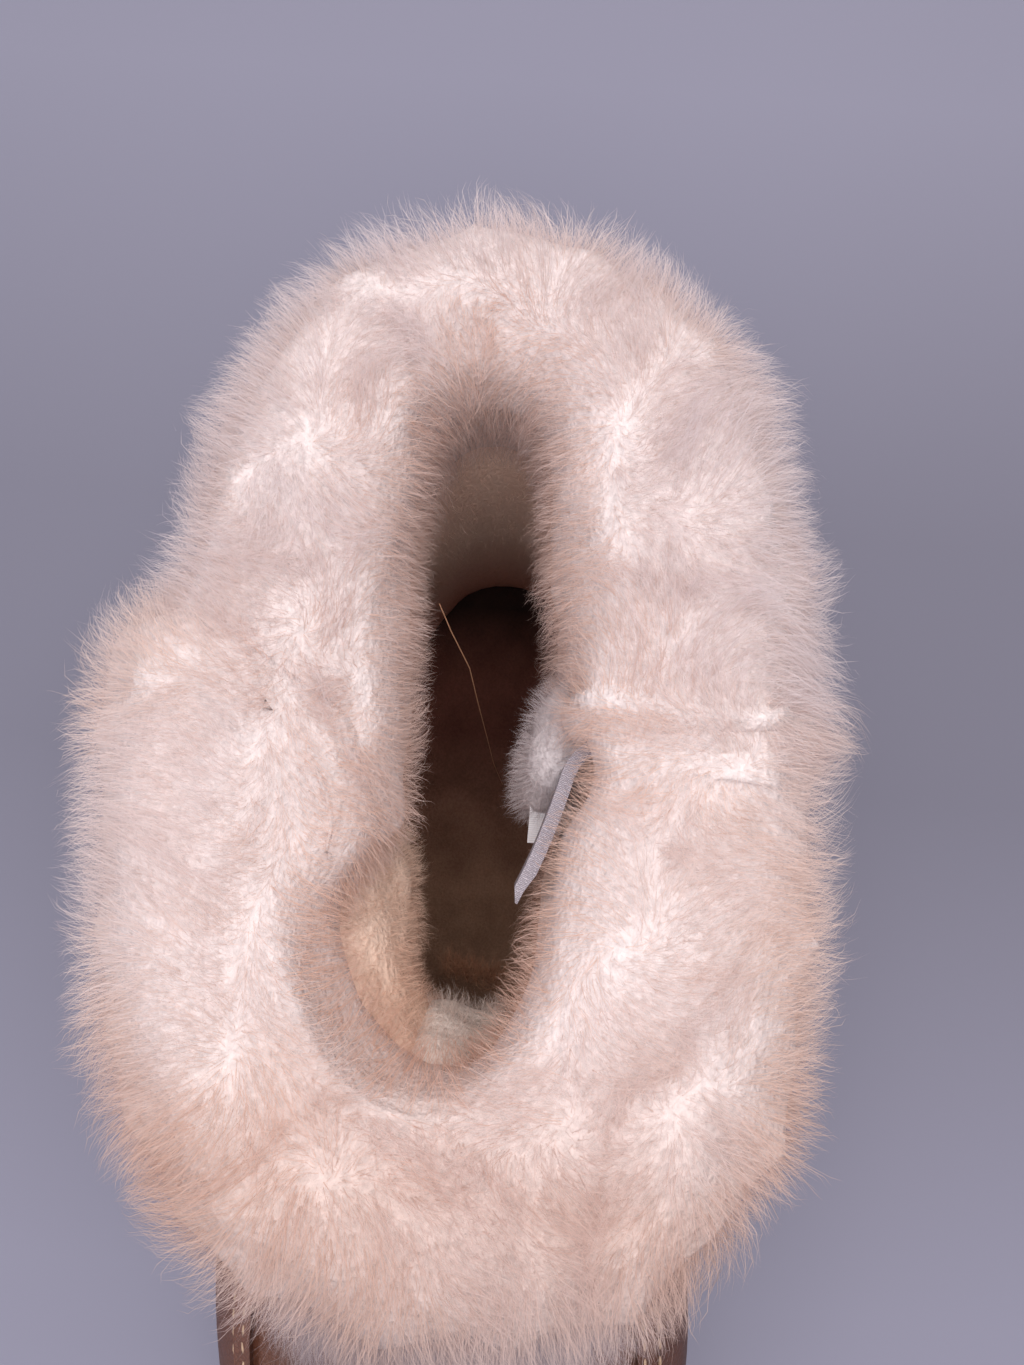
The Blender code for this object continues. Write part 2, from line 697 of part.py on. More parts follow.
def wool_ring(table, angle, column):
    """Closed outline of the wool at one angle round the collar. It closes inside the leather's wall."""
    at = {key: read_table(table, CUFF_COLUMNS, "angle", key, angle) for key in CUFF_COLUMNS[1:]}
    pairs = path_down(angle)
    inner_drop, outer_drop = LINING_DROP, CUFF_DROP * at["drop"]
    profile = profile_points()
    ring = []
    for row, (across, up) in enumerate(profile):
        lift = Vector((0, 0, max(up, 0.0)))
        lock = lock_height(column, row, len(profile) - 1)
        if across < 0:
            leather = under_leather(place_down(pairs, max(-up, 0.0) * inner_drop), angle)
            inward = spine_point(angle, leather.z) - leather
            point = leather + inward * at["inner"] * -across
            away = (inward.normalized() * -across + lift).normalized()
            lock *= 0.4
        else:
            place = place_down(pairs, max(-up, 0.0) * outer_drop)
            out = out_of_last(place, angle)
            dip = TIER_DIP * bell(angle - 90, 40) * bell(up + 0.30, 0.10)
            thin = FLAP_THINNING * bell(angle - 90, 60) * ease((-up - 0.22) / 0.16)
            point = on_last(place, angle) + out * (PILE * at["outer"] * across * (1 - thin) - dip)
            away = (out * across + lift).normalized()
        ring.append(point + lift * CUFF_RISE * at["rise"] + away * lock)
    for share in (0.98, 0.66, 0.33, 0.0):
        distance = inner_drop + (outer_drop - inner_drop) * share
        ring.append(under_leather(place_down(pairs, 0.98 * distance), angle, -WALL / 2))
    return ring


def wool_half(name, table, first, last, finish):
    """One half of the cuff as a thick roll over the collar, before the leather's place is cut out of it."""
    bm = bmesh.new()
    rings = []
    for column in range(CUFF_STEPS + 1):
        angle = first + (last - first) * column / CUFF_STEPS
        rings.append([bm.verts.new(point) for point in wool_ring(table, angle, column)])
    for one, following in zip(rings, rings[1:]):
        bridge(bm, one, following)
    bm.faces.new(rings[0])
    bm.faces.new(rings[-1])
    return new_object(name, bm, finish, sharp_angle=180.0)


def from_collar_centre(along, aside):
    return Vector((COLLAR_CENTRE_X + along * COLLAR_LENGTH, COLLAR_CENTRE_Y + aside * COLLAR_WIDTH))


def split_cutter(name, toeward):
    """Everything on the one side of the line where the halves part, half their gap beyond it."""
    line = [from_collar_centre(*row) for row in SPLIT_LINE]
    sign = 1 if toeward else -1
    moved = []
    for i, point in enumerate(line):
        before, after = line[max(i - 1, 0)], line[min(i + 1, len(line) - 1)]
        along = (after - before).normalized()
        moved.append(point - Vector((along.y, -along.x)) * sign * SPLIT_GAP / 2)
    notch_x = line[-1].x - sign * NOTCH / 2
    moved[-1] = Vector((notch_x, line[-1].y))
    moved.append(Vector((notch_x, 2 * BALL_WIDTH)))
    far_x = sign * 2 * FORM_LENGTH
    moved += [Vector((far_x, 2 * BALL_WIDTH)), Vector((far_x, -2 * BALL_WIDTH))]
    moved[0].y = -2 * BALL_WIDTH
    return prism(name, [(point.x, point.y) for point in moved], 0.0, 2 * COLLAR_HEIGHT)


def ribbon(name, grow=0.0, finish=None):
    """The webbing loop, folded flat, as an upright ribbon along its path. grow thickens it all round."""
    path = [from_collar_centre(*row) for row in LOOP_PATH]
    steps = 3
    count = (len(path) - 1) * steps
    lists = [[point[axis] for point in path] for axis in range(2)]
    points = [Vector([smooth_between(values, i / steps) for values in lists]) for i in range(count + 1)]
    points[0] -= (points[1] - points[0]).normalized() * grow
    points[-1] += (points[-1] - points[-2]).normalized() * grow
    top = COLLAR_HEIGHT - LOOP_TOP + grow
    bottom = COLLAR_HEIGHT - LOOP_TOP - LOOP_WIDTH - grow
    bm = bmesh.new()
    rings = []
    for i, point in enumerate(points):
        along = (points[min(i + 1, count)] - points[max(i - 1, 0)]).normalized()
        side = Vector((-along.y, along.x)) * (LOOP_THICKNESS / 2 + grow)
        corners = ((point + side, bottom), (point + side, top), (point - side, top), (point - side, bottom))
        rings.append([bm.verts.new((flat.x, flat.y, z)) for flat, z in corners])
    for one, following in zip(rings, rings[1:]):
        bridge(bm, one, following)
    bm.faces.new(rings[0])
    bm.faces.new(rings[-1])
    return new_object(name, bm, finish)


def label_sheet(name, grow=0.0, finish=None):
    """The sewn-in label, a small sheet that slopes down towards the toe under the loop."""
    middle = from_collar_centre(*LABEL_PLACE)
    heading = math.radians(LABEL_HEADING)
    ahead = Vector((math.cos(heading), math.sin(heading)))
    aside = Vector((-ahead.y, ahead.x)) * (LABEL_WIDTH / 2 + grow)
    top = COLLAR_HEIGHT - LOOP_TOP - LOOP_WIDTH - 2 * GAP
    faces = (top + grow, top - LABEL_THICKNESS - grow)
    bm = bmesh.new()
    rings = []
    for reach, drop in ((-grow, 0.0), (LABEL_REACH + grow, LABEL_SLOPE)):
        flat = middle + ahead * reach
        corners = ((flat + aside, faces[0]), (flat + aside, faces[1]), (flat - aside, faces[1]), (flat - aside, faces[0]))
        rings.append([bm.verts.new((corner.x, corner.y, z - drop)) for corner, z in corners])
    bridge(bm, *rings)
    bm.faces.new(rings[0])
    bm.faces.new(rings[1])
    return new_object(name, bm, finish)


def cuffs():
    """Both halves of the sheepskin cuff, with room for the leather, the apron, the loop and the label."""
    front = wool_half("cuff_front", FRONT_CUFF, 0.0, 208.0, SHEEPSKIN)
    back = wool_half("cuff_back", BACK_CUFF, 16.0, -220.0, SHEEPSKIN)
    collar = leather_shell("room_for_leather", ring_places(4.0), (under_leather, GAP), (on_leather, GAP), rim=GAP)
    apron_top = GAP + APRON_THICKNESS + SEAM_HEIGHT
    apron_room = apron_form("room_for_apron", -WALL / 2, apron_top + GAP, GAP)
    boolean(front, "DIFFERENCE", collar)
    boolean(front, "DIFFERENCE", apron_room)
    boolean(front, "DIFFERENCE", split_cutter("behind_the_split", toeward=False))
    boolean(back, "DIFFERENCE", collar)
    boolean(back, "DIFFERENCE", split_cutter("ahead_of_the_split", toeward=True))
    loop_room = ribbon("room_for_loop", grow=GAP)
    label_room = label_sheet("room_for_label", grow=GAP)
    for half in (front, back):
        boolean(half, "DIFFERENCE", loop_room)
        boolean(half, "DIFFERENCE", label_room)


clear_scene()
outsole()
insole()
upper()
apron()
cuffs()
ribbon("pull_loop", finish=WEBBING)
label_sheet("blank_label", finish=LABEL_CLOTH)
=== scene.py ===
"""The looks of a right mukluk boot: cream sheepskin in two halves over brown grained leather.

Metres. +X points to the toe, +Z up and +Y to the boot's inner side.
"""

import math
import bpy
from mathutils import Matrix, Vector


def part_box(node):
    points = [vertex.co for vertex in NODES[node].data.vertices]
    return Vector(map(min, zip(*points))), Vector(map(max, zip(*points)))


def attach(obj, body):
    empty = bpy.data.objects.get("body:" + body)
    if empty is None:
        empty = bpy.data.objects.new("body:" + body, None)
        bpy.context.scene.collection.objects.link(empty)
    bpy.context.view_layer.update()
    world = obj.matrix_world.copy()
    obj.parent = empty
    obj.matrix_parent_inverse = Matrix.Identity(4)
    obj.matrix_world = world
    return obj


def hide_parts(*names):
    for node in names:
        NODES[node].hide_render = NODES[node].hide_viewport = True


bl_info = {
    "name": "Mukluk Boot",
    "version": (1, 0, 0),
    "blender": (4, 5, 0),
    "location": "3D View > Sidebar > Boot",
    "description": "Dresses a sheepskin-cuffed mukluk boot round its solid model",
    "category": "Object",
}

import bmesh
import bpy
import numpy as np
from bpy.props import FloatProperty, FloatVectorProperty, IntProperty, PointerProperty
from mathutils import Matrix, Vector
from mathutils.bvhtree import BVHTree
from mathutils.kdtree import KDTree

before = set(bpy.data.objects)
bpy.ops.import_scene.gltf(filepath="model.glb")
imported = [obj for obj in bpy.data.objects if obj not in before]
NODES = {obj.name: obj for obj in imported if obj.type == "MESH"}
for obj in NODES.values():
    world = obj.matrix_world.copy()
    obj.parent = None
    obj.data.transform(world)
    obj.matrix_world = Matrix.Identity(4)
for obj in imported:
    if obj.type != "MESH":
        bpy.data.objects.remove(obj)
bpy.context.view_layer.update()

COLLAR_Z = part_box("upper")[1].z
COLLAR_X, COLLAR_Y = 0.0055, -0.002  # middle of the collar's opening
SPINE_HALF = 0.025  # half length of the opening's middle line
MM = 0.001
UP = np.array((0.0, 0.0, 1.0))
WHITE = (1.0, 1.0, 1.0)
OVERHEAD = 0.30  # height from which rays look down on the boot
LONG_SHARE = 0.45  # of a cuff's fibres, the rest being frizz
THROUGH = 0.45  # of the light, passed on by a fibre
CLOSING = 1.6 * MM  # swelling that closes the slot for the leather
REACH = 14 * MM  # widest gap that the two halves' wool fills
LINING_TOP = COLLAR_Z - 0.016  # the lining's upper edge, behind the cuff's wool
LINING_DEPTH, HEEL_DEPTH = 4.5 * MM, 8.0 * MM  # off the leather, and more low at the heel
FUZZ = 0.5  # length of the lining's wool, as a share of the pile inside the collar
FLAP_TOP = 0.125  # the height where the flap leaves the roll
SPOT_RADIUS = 2.2 * MM
# Spacing, length and width
STITCH = (4.2 * MM, 3.2 * MM, 0.9 * MM)
LEDGE_STITCH = (5.0 * MM, 3.8 * MM, 1.1 * MM)
PLEAT = (3.6 * MM, 7.5 * MM, 2.3 * MM)
# Tones of single fibres, at random within each half: tan inside the collar, in the lower half, from painted warm
# shade, and white outside it
FIBRE_TONES_AND_WARM_SHADE = ((0.0, (0.93, 0.78, 0.68)), (0.45, (0.96, 0.87, 0.81)), (0.58, (0.96, 0.95, 0.95)), (1.0, WHITE))
# Painted shade from the front roll down to the flap's end, which greys the fibres and the undercoat there
FLAP_PAINTED_SHADE = ((0.0, WHITE), (0.4, (0.90, 0.82, 0.78)), (0.7, (0.86, 0.80, 0.77)), (1.0, (0.60, 0.59, 0.64)))
FLAP_SKIN_PAINTED_SHADE = ((0.0, WHITE), (0.4, (0.88, 0.80, 0.75)), (0.7, (0.82, 0.76, 0.73)), (1.0, (0.54, 0.53, 0.57)))
# Painted light on the floor along the boot, between its two ends: brighter near both ends, darker in the middle
FLOOR_ENDS = (-0.22, 0.20)
FLOOR_PAINTED_LIGHT = ((0.0, 1.32), (0.36, 0.97), (0.55, 0.95), (0.9, 1.36))
LIGHTS_AIM = Vector((0.03, 0.0, 0.1))
# The lining's soft lobes, (centre, radii) in millimetres, as seen through the opening
LINING_LOBES = (
    ((38, -25, 119), (13, 14, 24)),
    ((49, -22.5, 124), (11, 13, 25)),
    ((58, -19.5, 127), (10, 12, 24)),
    ((66, -13, 127), (10, 9, 25)),
)
# The front lobes get a paler tan as painted light, lifting them out of the front wool's shade
FRONT_LOBES = (((71, -3.5, 126), (12, 10, 26)), ((72, 7, 119), (11.5, 9, 24)))  # paler, at the front end
# Wool beside the pull loop
BACK_TUFT = (((11, 16, 139), (9, 7.5, 9)), ((17, 12.5, 136), (7.5, 6, 12)), ((22, 11, 132), (5, 4.5, 10)))
# Wool that the back half adds at its tucked outer end and over the heel end of the opening
BACK_PUFFS = (
    ((14, -23, 143), (14, 14, 18)),
    ((27, -18.5, 142.5), (15, 14, 17)),
    ((-45, 0, 151), (10, 16, 13)),
)
# One loose hair across the opening
HAIR = (
    (-6, -8, 150),
    (-3.5, -6.5, 141),
    (0.5, -3.6, 128),
    (5, -2.2, 112),
    (10, -0.5, 92),
    (14, 0.8, 76),
    (18, 3.0, 60),
)
FRINGE = ((56.5, -5.0, 100), (58.5, 6.0, 98))  # ends of the raw edge under the lining's front lobe
# Wool that the front half adds along its inner edge and over its free end
FRONT_PUFFS = (
    ((36, -33, 148), (19, 19, 19)),
    ((48, -30, 147), (19, 19, 19)),
    ((60, -25, 146), (18, 18, 19)),
    ((70, -17, 145), (18, 17, 19)),
    ((77, -7, 143), (17, 17, 19)),
    ((7, -51, 149), (14, 14, 16)),
    ((13, -41, 151), (16, 15, 17)),
    ((20, -33, 151), (14, 14, 17)),
    ((27, -34, 150), (16, 14, 17)),
    ((13, 36, 149), (11, 21, 15)),
)


class BootWool(bpy.types.PropertyGroup):
    pile: FloatProperty(name="Pile", description="Length of the cuff's wool", default=11.5 * MM, unit="LENGTH")
    flap_pile: FloatProperty(name="Flap pile", description="Wool on the hanging flap", default=17 * MM, unit="LENGTH")
    inner_pile: FloatProperty(name="Inner pile", description="Wool inside the collar", default=8 * MM, unit="LENGTH")
    fibre: FloatProperty(name="Fibre", description="Width of one lock of fibres", default=0.07 * MM, unit="LENGTH")
    undercoat: FloatProperty(name="Undercoat", description="Depth of the matted body below the wool's surface",
                             default=4.5 * MM, unit="LENGTH")
    lumps: FloatProperty(name="Lumps", description="Height of the wool's soft puffs", default=0.7 * MM, unit="LENGTH")
    front_count: IntProperty(name="Front fibres", description="Fibres on the front half", default=92000, min=100)
    back_count: IntProperty(name="Back fibres", description="Fibres on the back half", default=80000, min=100)
    tip: FloatVectorProperty(name="Tip", description="Colour of the wool's tips", subtype="COLOR",
                             default=(0.755, 0.675, 0.69), min=0.0, max=1.0)
    # The root colour is painted warm shade deep in the pile
    root: FloatVectorProperty(name="Root", description="Colour of the wool at the skin", subtype="COLOR",
                              default=(0.76, 0.64, 0.60), min=0.0, max=1.0)


class BootLeather(bpy.types.PropertyGroup):
    brown: FloatVectorProperty(name="Brown", description="Colour of the leather", subtype="COLOR",
                               default=(0.105, 0.036, 0.020), min=0.0, max=1.0)
    grain: FloatProperty(name="Grain", description="Size of the leather's pebbles", default=1.1 * MM, unit="LENGTH")
    lining: FloatVectorProperty(name="Lining", description="Colour of the shorn lining", subtype="COLOR",
                                default=(1.0, 0.76, 0.65), min=0.0, max=1.0)
    lobe: FloatVectorProperty(name="Lobe", description="Colour of the lining's lobes", subtype="COLOR",
                              default=(0.92, 0.70, 0.58), min=0.0, max=1.0)


class BootStage(bpy.types.PropertyGroup):
    camera_height: FloatProperty(name="Camera height", description="Above the floor", default=0.305, unit="LENGTH")
    camera_x: FloatProperty(name="Camera X", description="Along the boot", default=0.028, unit="LENGTH")
    camera_y: FloatProperty(name="Camera Y", description="Across the boot", default=0.0061, unit="LENGTH")
    tilt: FloatProperty(name="Tilt", description="Of the camera from straight down", default=math.radians(8.2),
                        subtype="ANGLE")
    turn: FloatProperty(name="Turn", description="Of the boot in the picture", default=math.radians(4.3),
                        subtype="ANGLE")
    lens: FloatProperty(name="Lens", description="Focal length in millimetres", default=26.4)
    floor: FloatVectorProperty(name="Floor", description="Colour of the floor", subtype="COLOR",
                               default=(0.17, 0.165, 0.215), min=0.0, max=1.0)


def settings(name):
    return getattr(bpy.context.scene, name)


# Materials


def new_material(name, colour, roughness, specular=0.5):
    """A material and its Principled shader."""
    made = bpy.data.materials.new(name)
    made.use_nodes = True
    shader = made.node_tree.nodes["Principled BSDF"]
    shader.inputs["Base Color"].default_value = (*colour, 1.0)
    shader.inputs["Roughness"].default_value = roughness
    shader.inputs["Specular IOR Level"].default_value = specular
    return made, shader


def node(material, kind, inputs=None, **settings_of_node):
    """A node of the kind, its inputs linked to sockets or set to values."""
    made = material.node_tree.nodes.new(kind)
    for key, value in settings_of_node.items():
        setattr(made, key, value)
    for key, value in (inputs or {}).items():
        if isinstance(value, bpy.types.NodeSocket):
            material.node_tree.links.new(value, made.inputs[key])
        else:
            made.inputs[key].default_value = value
    return made


def ramp(material, factor, stops):
    """Colour ramp over (position, colour) stops."""
    made = node(material, "ShaderNodeValToRGB", {"Fac": factor})
    elements = made.color_ramp.elements
    while len(elements) < len(stops):
        elements.new(0.5)
    for element, (position, colour) in zip(elements, stops):
        element.position = position
        element.color = (*colour, 1.0)
    return made.outputs["Color"]


def multiplied(material, colour, shade, strength=1.0):
    """A colour socket times another."""
    made = node(material, "ShaderNodeMix", data_type="RGBA", blend_type="MULTIPLY")
    sockets = {socket.identifier: socket for socket in made.inputs}
    sockets["Factor_Float"].default_value = strength
    material.node_tree.links.new(colour, sockets["A_Color"])
    material.node_tree.links.new(shade, sockets["B_Color"])
    return next(socket for socket in made.outputs if socket.identifier == "Result_Color")


def ranged(material, value, low, high):
    """A value socket stretched so that low gives 0 and high gives 1."""
    return node(material, "ShaderNodeMapRange", {"Value": value, "From Min": low, "From Max": high}).outputs[0]


def object_place(material):
    return node(material, "ShaderNodeTexCoord").outputs["Object"]


def coordinate(material, vector, axis):
    return node(material, "ShaderNodeSeparateXYZ", {"Vector": vector}).outputs[axis]


def object_noise(material, scale, detail):
    place = object_place(material)
    return node(material, "ShaderNodeTexNoise", {"Vector": place, "Scale": scale, "Detail": detail}).outputs[0]


def coloured(material, shader, colour):
    material.node_tree.links.new(colour, shader.inputs["Base Color"])


def bumped(material, shader, height, strength, distance, over=None):
    """Gives the shader a relief, over another relief where one is handed in."""
    bump = node(material, "ShaderNodeBump", {"Height": height, "Strength": strength, "Distance": distance})
    if over is not None:
        material.node_tree.links.new(over, bump.inputs["Normal"])
    material.node_tree.links.new(bump.outputs[0], shader.inputs["Normal"])
    return bump.outputs[0]


def shaded(colour, amount):
    return tuple(channel * amount for channel in colour)


def mixed(one, other, share):
    return tuple(a * (1 - share) + b * share for a, b in zip(one, other))


def tinted(colour, tint):
    return tuple(a * b for a, b in zip(colour, tint))


def hang_share(material):
    """A node socket that rises from 0 on the front roll to 1 on the flap that hangs below it; it masks the painted
    shade on the flap.
    """
    place = object_place(material)
    along = node(material, "ShaderNodeVectorMath", {0: place, 1: (1.0, 0.0, -0.45)}, operation="DOT_PRODUCT")
    return ranged(material, along.outputs["Value"], -0.020, 0.036)


def wool_material(name, root, tip, peach=0.0):
    """Fibres that pass on some of the light behind them, peachy in patches, with painted warm shade at the roots and
    inside the collar and painted shade that greys the flap.
    """
    made, shader = new_material(name, tip, 0.75, 0.2)
    links = made.node_tree.links
    uv = node(made, "ShaderNodeUVMap", uv_map="fibre").outputs[0]
    # Painted warm shade: each fibre is warmer and darker at its root, deep in the pile, than at its tip
    along = ((0.0, root), (0.35, mixed(root, tip, 0.70)), (0.8, tip), (1.0, tip))
    # Painted warm shade: fibres inside the collar are tinted tan, those outside stay white
    variety_and_warm_shade = ramp(made, coordinate(made, uv, "X"), FIBRE_TONES_AND_WARM_SHADE)
    colour = multiplied(made, ramp(made, coordinate(made, uv, "Y"), along), variety_and_warm_shade)
    shade = (1.0, 1.0 - 0.10 * peach, 1.0 - 0.19 * peach)
    warm = ramp(made, object_noise(made, 32.0, 2.0), ((0.40, shade), (0.62, WHITE)))
    # Painted shade: the flap that hangs below the roll is greyed and darkened
    colour = multiplied(made, multiplied(made, colour, warm), ramp(made, hang_share(made), FLAP_PAINTED_SHADE))
    coloured(made, shader, colour)
    behind = node(made, "ShaderNodeBsdfTranslucent", {"Color": colour})
    both = node(made, "ShaderNodeMixShader", {0: THROUGH})
    links.new(shader.outputs[0], both.inputs[1])
    links.new(behind.outputs[0], both.inputs[2])
    links.new(both.outputs[0], made.node_tree.nodes["Material Output"].inputs["Surface"])
    return made


def matted_material(name, colour):
    """Matted wool, still of one colour: the material, its shader and the matting's noise."""
    made, shader = new_material(name, colour, 0.9, 0.1)
    matted = object_noise(made, 900.0, 4.0)
    bumped(made, shader, matted, 0.6, 1.2 * MM)
    return made, shader, matted


def skin_material(name, colour):
    """The matted undercoat between the fibres, with painted shade that greys it on the flap."""
    made, shader, matted = matted_material(name, colour)
    tone = ramp(made, matted, ((0.3, shaded(colour, 0.78)), (0.7, colour)))
    # Painted shade greys the undercoat on the flap
    coloured(made, shader, multiplied(made, tone, ramp(made, hang_share(made), FLAP_SKIN_PAINTED_SHADE)))
    return made


def lining_material(name, colour):
    """Shorn wool, tan near the collar and darkened to dark brown down by the insole as painted shade."""
    made, shader, matted = matted_material(name, colour)
    height = ranged(made, coordinate(made, object_place(made), "Z"), 0.03, 0.105)
    # Painted shade: the lining grows darker and browner down towards the insole
    low = tinted(colour, (0.42, 0.26, 0.23))
    tone = ramp(made, height, ((0.0, low), (0.45, shaded(colour, 0.8)), (1.0, colour)))
    fine = ramp(made, matted, ((0.3, (0.92, 0.90, 0.88)), (0.7, WHITE)))
    coloured(made, shader, multiplied(made, tone, fine))
    return made


def leather_material(name, colour, grain):
    """Grained leather: pebbles with dark creases between them, soft wrinkles and worn patches."""
    made, shader = new_material(name, colour, 0.5)
    inputs = {"Vector": object_place(made), "Scale": 1 / grain, "Randomness": 1.0}
    pebbles = node(made, "ShaderNodeTexVoronoi", inputs, feature="DISTANCE_TO_EDGE").outputs["Distance"]
    wrinkles = object_noise(made, 0.35 / grain, 5.0)
    wear = object_noise(made, 26.0, 4.0)
    tone = ramp(made, wear, ((0.30, shaded(colour, 0.62)), (0.55, colour), (0.78, shaded(colour, 1.5))))
    creases = ramp(made, pebbles, ((0.0, (0.55, 0.52, 0.50)), (0.12, WHITE)))
    coloured(made, shader, multiplied(made, tone, creases, 0.7))
    rough = node(made, "ShaderNodeMapRange", {"Value": wrinkles, "To Min": 0.42, "To Max": 0.66})
    made.node_tree.links.new(rough.outputs[0], shader.inputs["Roughness"])
    grained = bumped(made, shader, ranged(made, pebbles, 0.0, 0.22), 0.45, 0.22 * MM)
    bumped(made, shader, wrinkles, 0.35, 0.6 * MM, grained)
    return made


def rubber_material():
    colour = (0.030, 0.022, 0.018)
    made, shader = new_material("dark_rubber", colour, 0.7)
    dust = object_noise(made, 70.0, 5.0)
    coloured(made, shader, ramp(made, dust, ((0.45, colour), (0.75, (0.085, 0.070, 0.060)))))
    bumped(made, shader, object_noise(made, 1500.0, 3.0), 0.35, 0.15 * MM)
    return made


def felt_material(name, heel, toe, spot):
    """Felt with stains, reddish and dark under the heel and nearly black at its end as painted shade, greyer brown
    towards the toe, with one dark spot.
    """
    made, shader = new_material(name, toe, 0.95)
    place = object_place(made)
    along = ranged(made, coordinate(made, place, "X"), -0.035, 0.055)
    # Painted shade: near black at the heel end and dark red under the heel, lifting to lighter brown towards the toe
    tone = ramp(made, along, ((0.02, shaded(heel, 0.15)), (0.22, heel), (0.42, heel), (1.0, toe)))
    stained = ramp(made, object_noise(made, 75.0, 4.0), ((0.35, (0.70, 0.66, 0.64)), (0.62, WHITE)))
    fluff = object_noise(made, 1800.0, 4.0)
    fine = ramp(made, fluff, ((0.3, (0.72, 0.70, 0.68)), (0.7, WHITE)))
    near = node(made, "ShaderNodeVectorMath", {0: place, 1: spot}, operation="DISTANCE").outputs["Value"]
    dark = ramp(made, ranged(made, near, 0.0, SPOT_RADIUS), ((0.35, (0.12, 0.10, 0.10)), (0.8, WHITE)))
    for shade in (stained, fine, dark):
        tone = multiplied(made, tone, shade)
    coloured(made, shader, tone)
    bumped(made, shader, fluff, 0.7, 0.5 * MM)
    return made


def webbing_material():
    """Grey webbing: a diagonal rib of light and dark yarns across its own UV map, in millimetres."""
    made, shader = new_material("grey_webbing", (0.40, 0.36, 0.41), 0.85)
    uv = node(made, "ShaderNodeUVMap", uv_map="cloth").outputs[0]
    mapping = node(made, "ShaderNodeMapping", {"Vector": uv, "Rotation": (0.0, 0.0, math.radians(38))})
    inputs = {"Vector": mapping.outputs[0], "Scale": 1.5, "Distortion": 5.0, "Detail": 2.0, "Detail Scale": 2.0}
    ribs = node(made, "ShaderNodeTexWave", inputs).outputs["Color"]
    coloured(made, shader, ramp(made, ribs, ((0.2, (0.26, 0.23, 0.27)), (0.8, (0.52, 0.47, 0.52)))))
    bumped(made, shader, ribs, 0.8, 0.25 * MM)
    return made


def label_material():
    made, shader = new_material("white_label_cloth", (0.86, 0.84, 0.86), 0.7)
    inputs = {"Vector": object_place(made), "Scale": 900.0, "Distortion": 0.4}
    ribs = node(made, "ShaderNodeTexWave", inputs).outputs["Color"]
    coloured(made, shader, ramp(made, ribs, ((0.0, (0.74, 0.72, 0.75)), (1.0, (0.90, 0.88, 0.90)))))
    bumped(made, shader, ribs, 0.3, 0.08 * MM)
    return made


def thread_material(name, colour):
    made, shader = new_material(name, colour, 0.6)
    twist = object_noise(made, 2500.0, 2.0)
    coloured(made, shader, ramp(made, twist, ((0.3, shaded(colour, 0.7)), (0.7, colour))))
    return made


# Meshes


def merged(name):
    """A solid's mesh as a bmesh of its own, its loose triangles joined."""
    bm = bmesh.new()
    bm.from_mesh(NODES[name].data)
    bmesh.ops.remove_doubles(bm, verts=bm.verts, dist=0.00001)
    return bm


def piece(name, bm, material, smooth_angle=None):
    """An object at the origin that rides on the boot. It empties the bmesh."""
    mesh = bpy.data.meshes.new(name)
    bm.to_mesh(mesh)
    bm.free()
    mesh.shade_smooth()
    if smooth_angle is not None:
        mesh.set_sharp_from_angle(angle=math.radians(smooth_angle))
    return finish_piece(name, mesh, material)


def finish_piece(name, mesh, material):
    obj = bpy.data.objects.new(name, mesh)
    bpy.context.scene.collection.objects.link(obj)
    mesh.materials.append(material)
    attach(obj, "root")
    return obj


def dress(name, material):
    mesh = NODES[name].data
    mesh.materials.clear()
    mesh.materials.append(material)


def tree_of(name):
    bm = merged(name)
    made = BVHTree.FromBMesh(bm)
    bm.free()
    return made


def unit(vectors):
    return vectors / np.maximum(np.linalg.norm(vectors, axis=1, keepdims=True), 1e-9)


def waves(points, size, seed):
    """A smooth random vector field: sums of sine waves of about one size, the same each run."""
    rng = np.random.default_rng(seed)
    total = np.zeros_like(points)
    for _ in range(7):
        direction = rng.normal(size=3)
        direction *= 2 * math.pi / (size * rng.uniform(0.7, 1.6)) / np.linalg.norm(direction)
        phase = rng.uniform(0, 2 * math.pi, 3)
        total += np.sin((points @ direction)[:, None] + phase) * rng.uniform(0.5, 1.0, 3)
    return total / 2.6


def from_spine(points):
    """Level unit vectors that lead away from the opening's middle line."""
    nearest = np.clip(points[:, 0], COLLAR_X - SPINE_HALF, COLLAR_X + SPINE_HALF)
    away = np.stack([points[:, 0] - nearest, points[:, 1] - COLLAR_Y, np.zeros(len(points))], axis=1)
    return unit(away)


def remeshed(bm, voxel):
    """The bmesh as one even closed surface, its overlaps merged. It empties the one handed in."""
    mesh = bpy.data.meshes.new("rough")
    bm.to_mesh(mesh)
    bm.free()
    rough = bpy.data.objects.new("rough", mesh)
    bpy.context.scene.collection.objects.link(rough)
    even = rough.modifiers.new("even", "REMESH")
    even.mode = "VOXEL"
    even.voxel_size = voxel
    made = bmesh.new()
    made.from_object(rough, bpy.context.evaluated_depsgraph_get())
    bpy.data.objects.remove(rough)
    bpy.data.meshes.remove(mesh)
    return made


def smoothed(bm, times):
    for _ in range(times):
        bmesh.ops.smooth_vert(bm, verts=bm.verts, factor=0.5, use_axis_x=True, use_axis_y=True, use_axis_z=True)
    bm.normal_update()
    return bm


def swollen(bm, amount):
    bm.normal_update()
    for vert in bm.verts:
        vert.co += vert.normal * amount
    return bm


def eased(bm, values, times):
    """Averages a value of each vertex with those of its neighbours."""
    bm.verts.index_update()
    ends = np.array([[v.index for v in edge.verts] for edge in bm.edges])
    values = np.array(values)
    for _ in range(times):
        total, number = values.copy(), np.ones(len(values))
        for a, b in ((0, 1), (1, 0)):
            np.add.at(total, ends[:, a], values[ends[:, b]])
            np.add.at(number, ends[:, a], 1)
        values = total / number
    return values


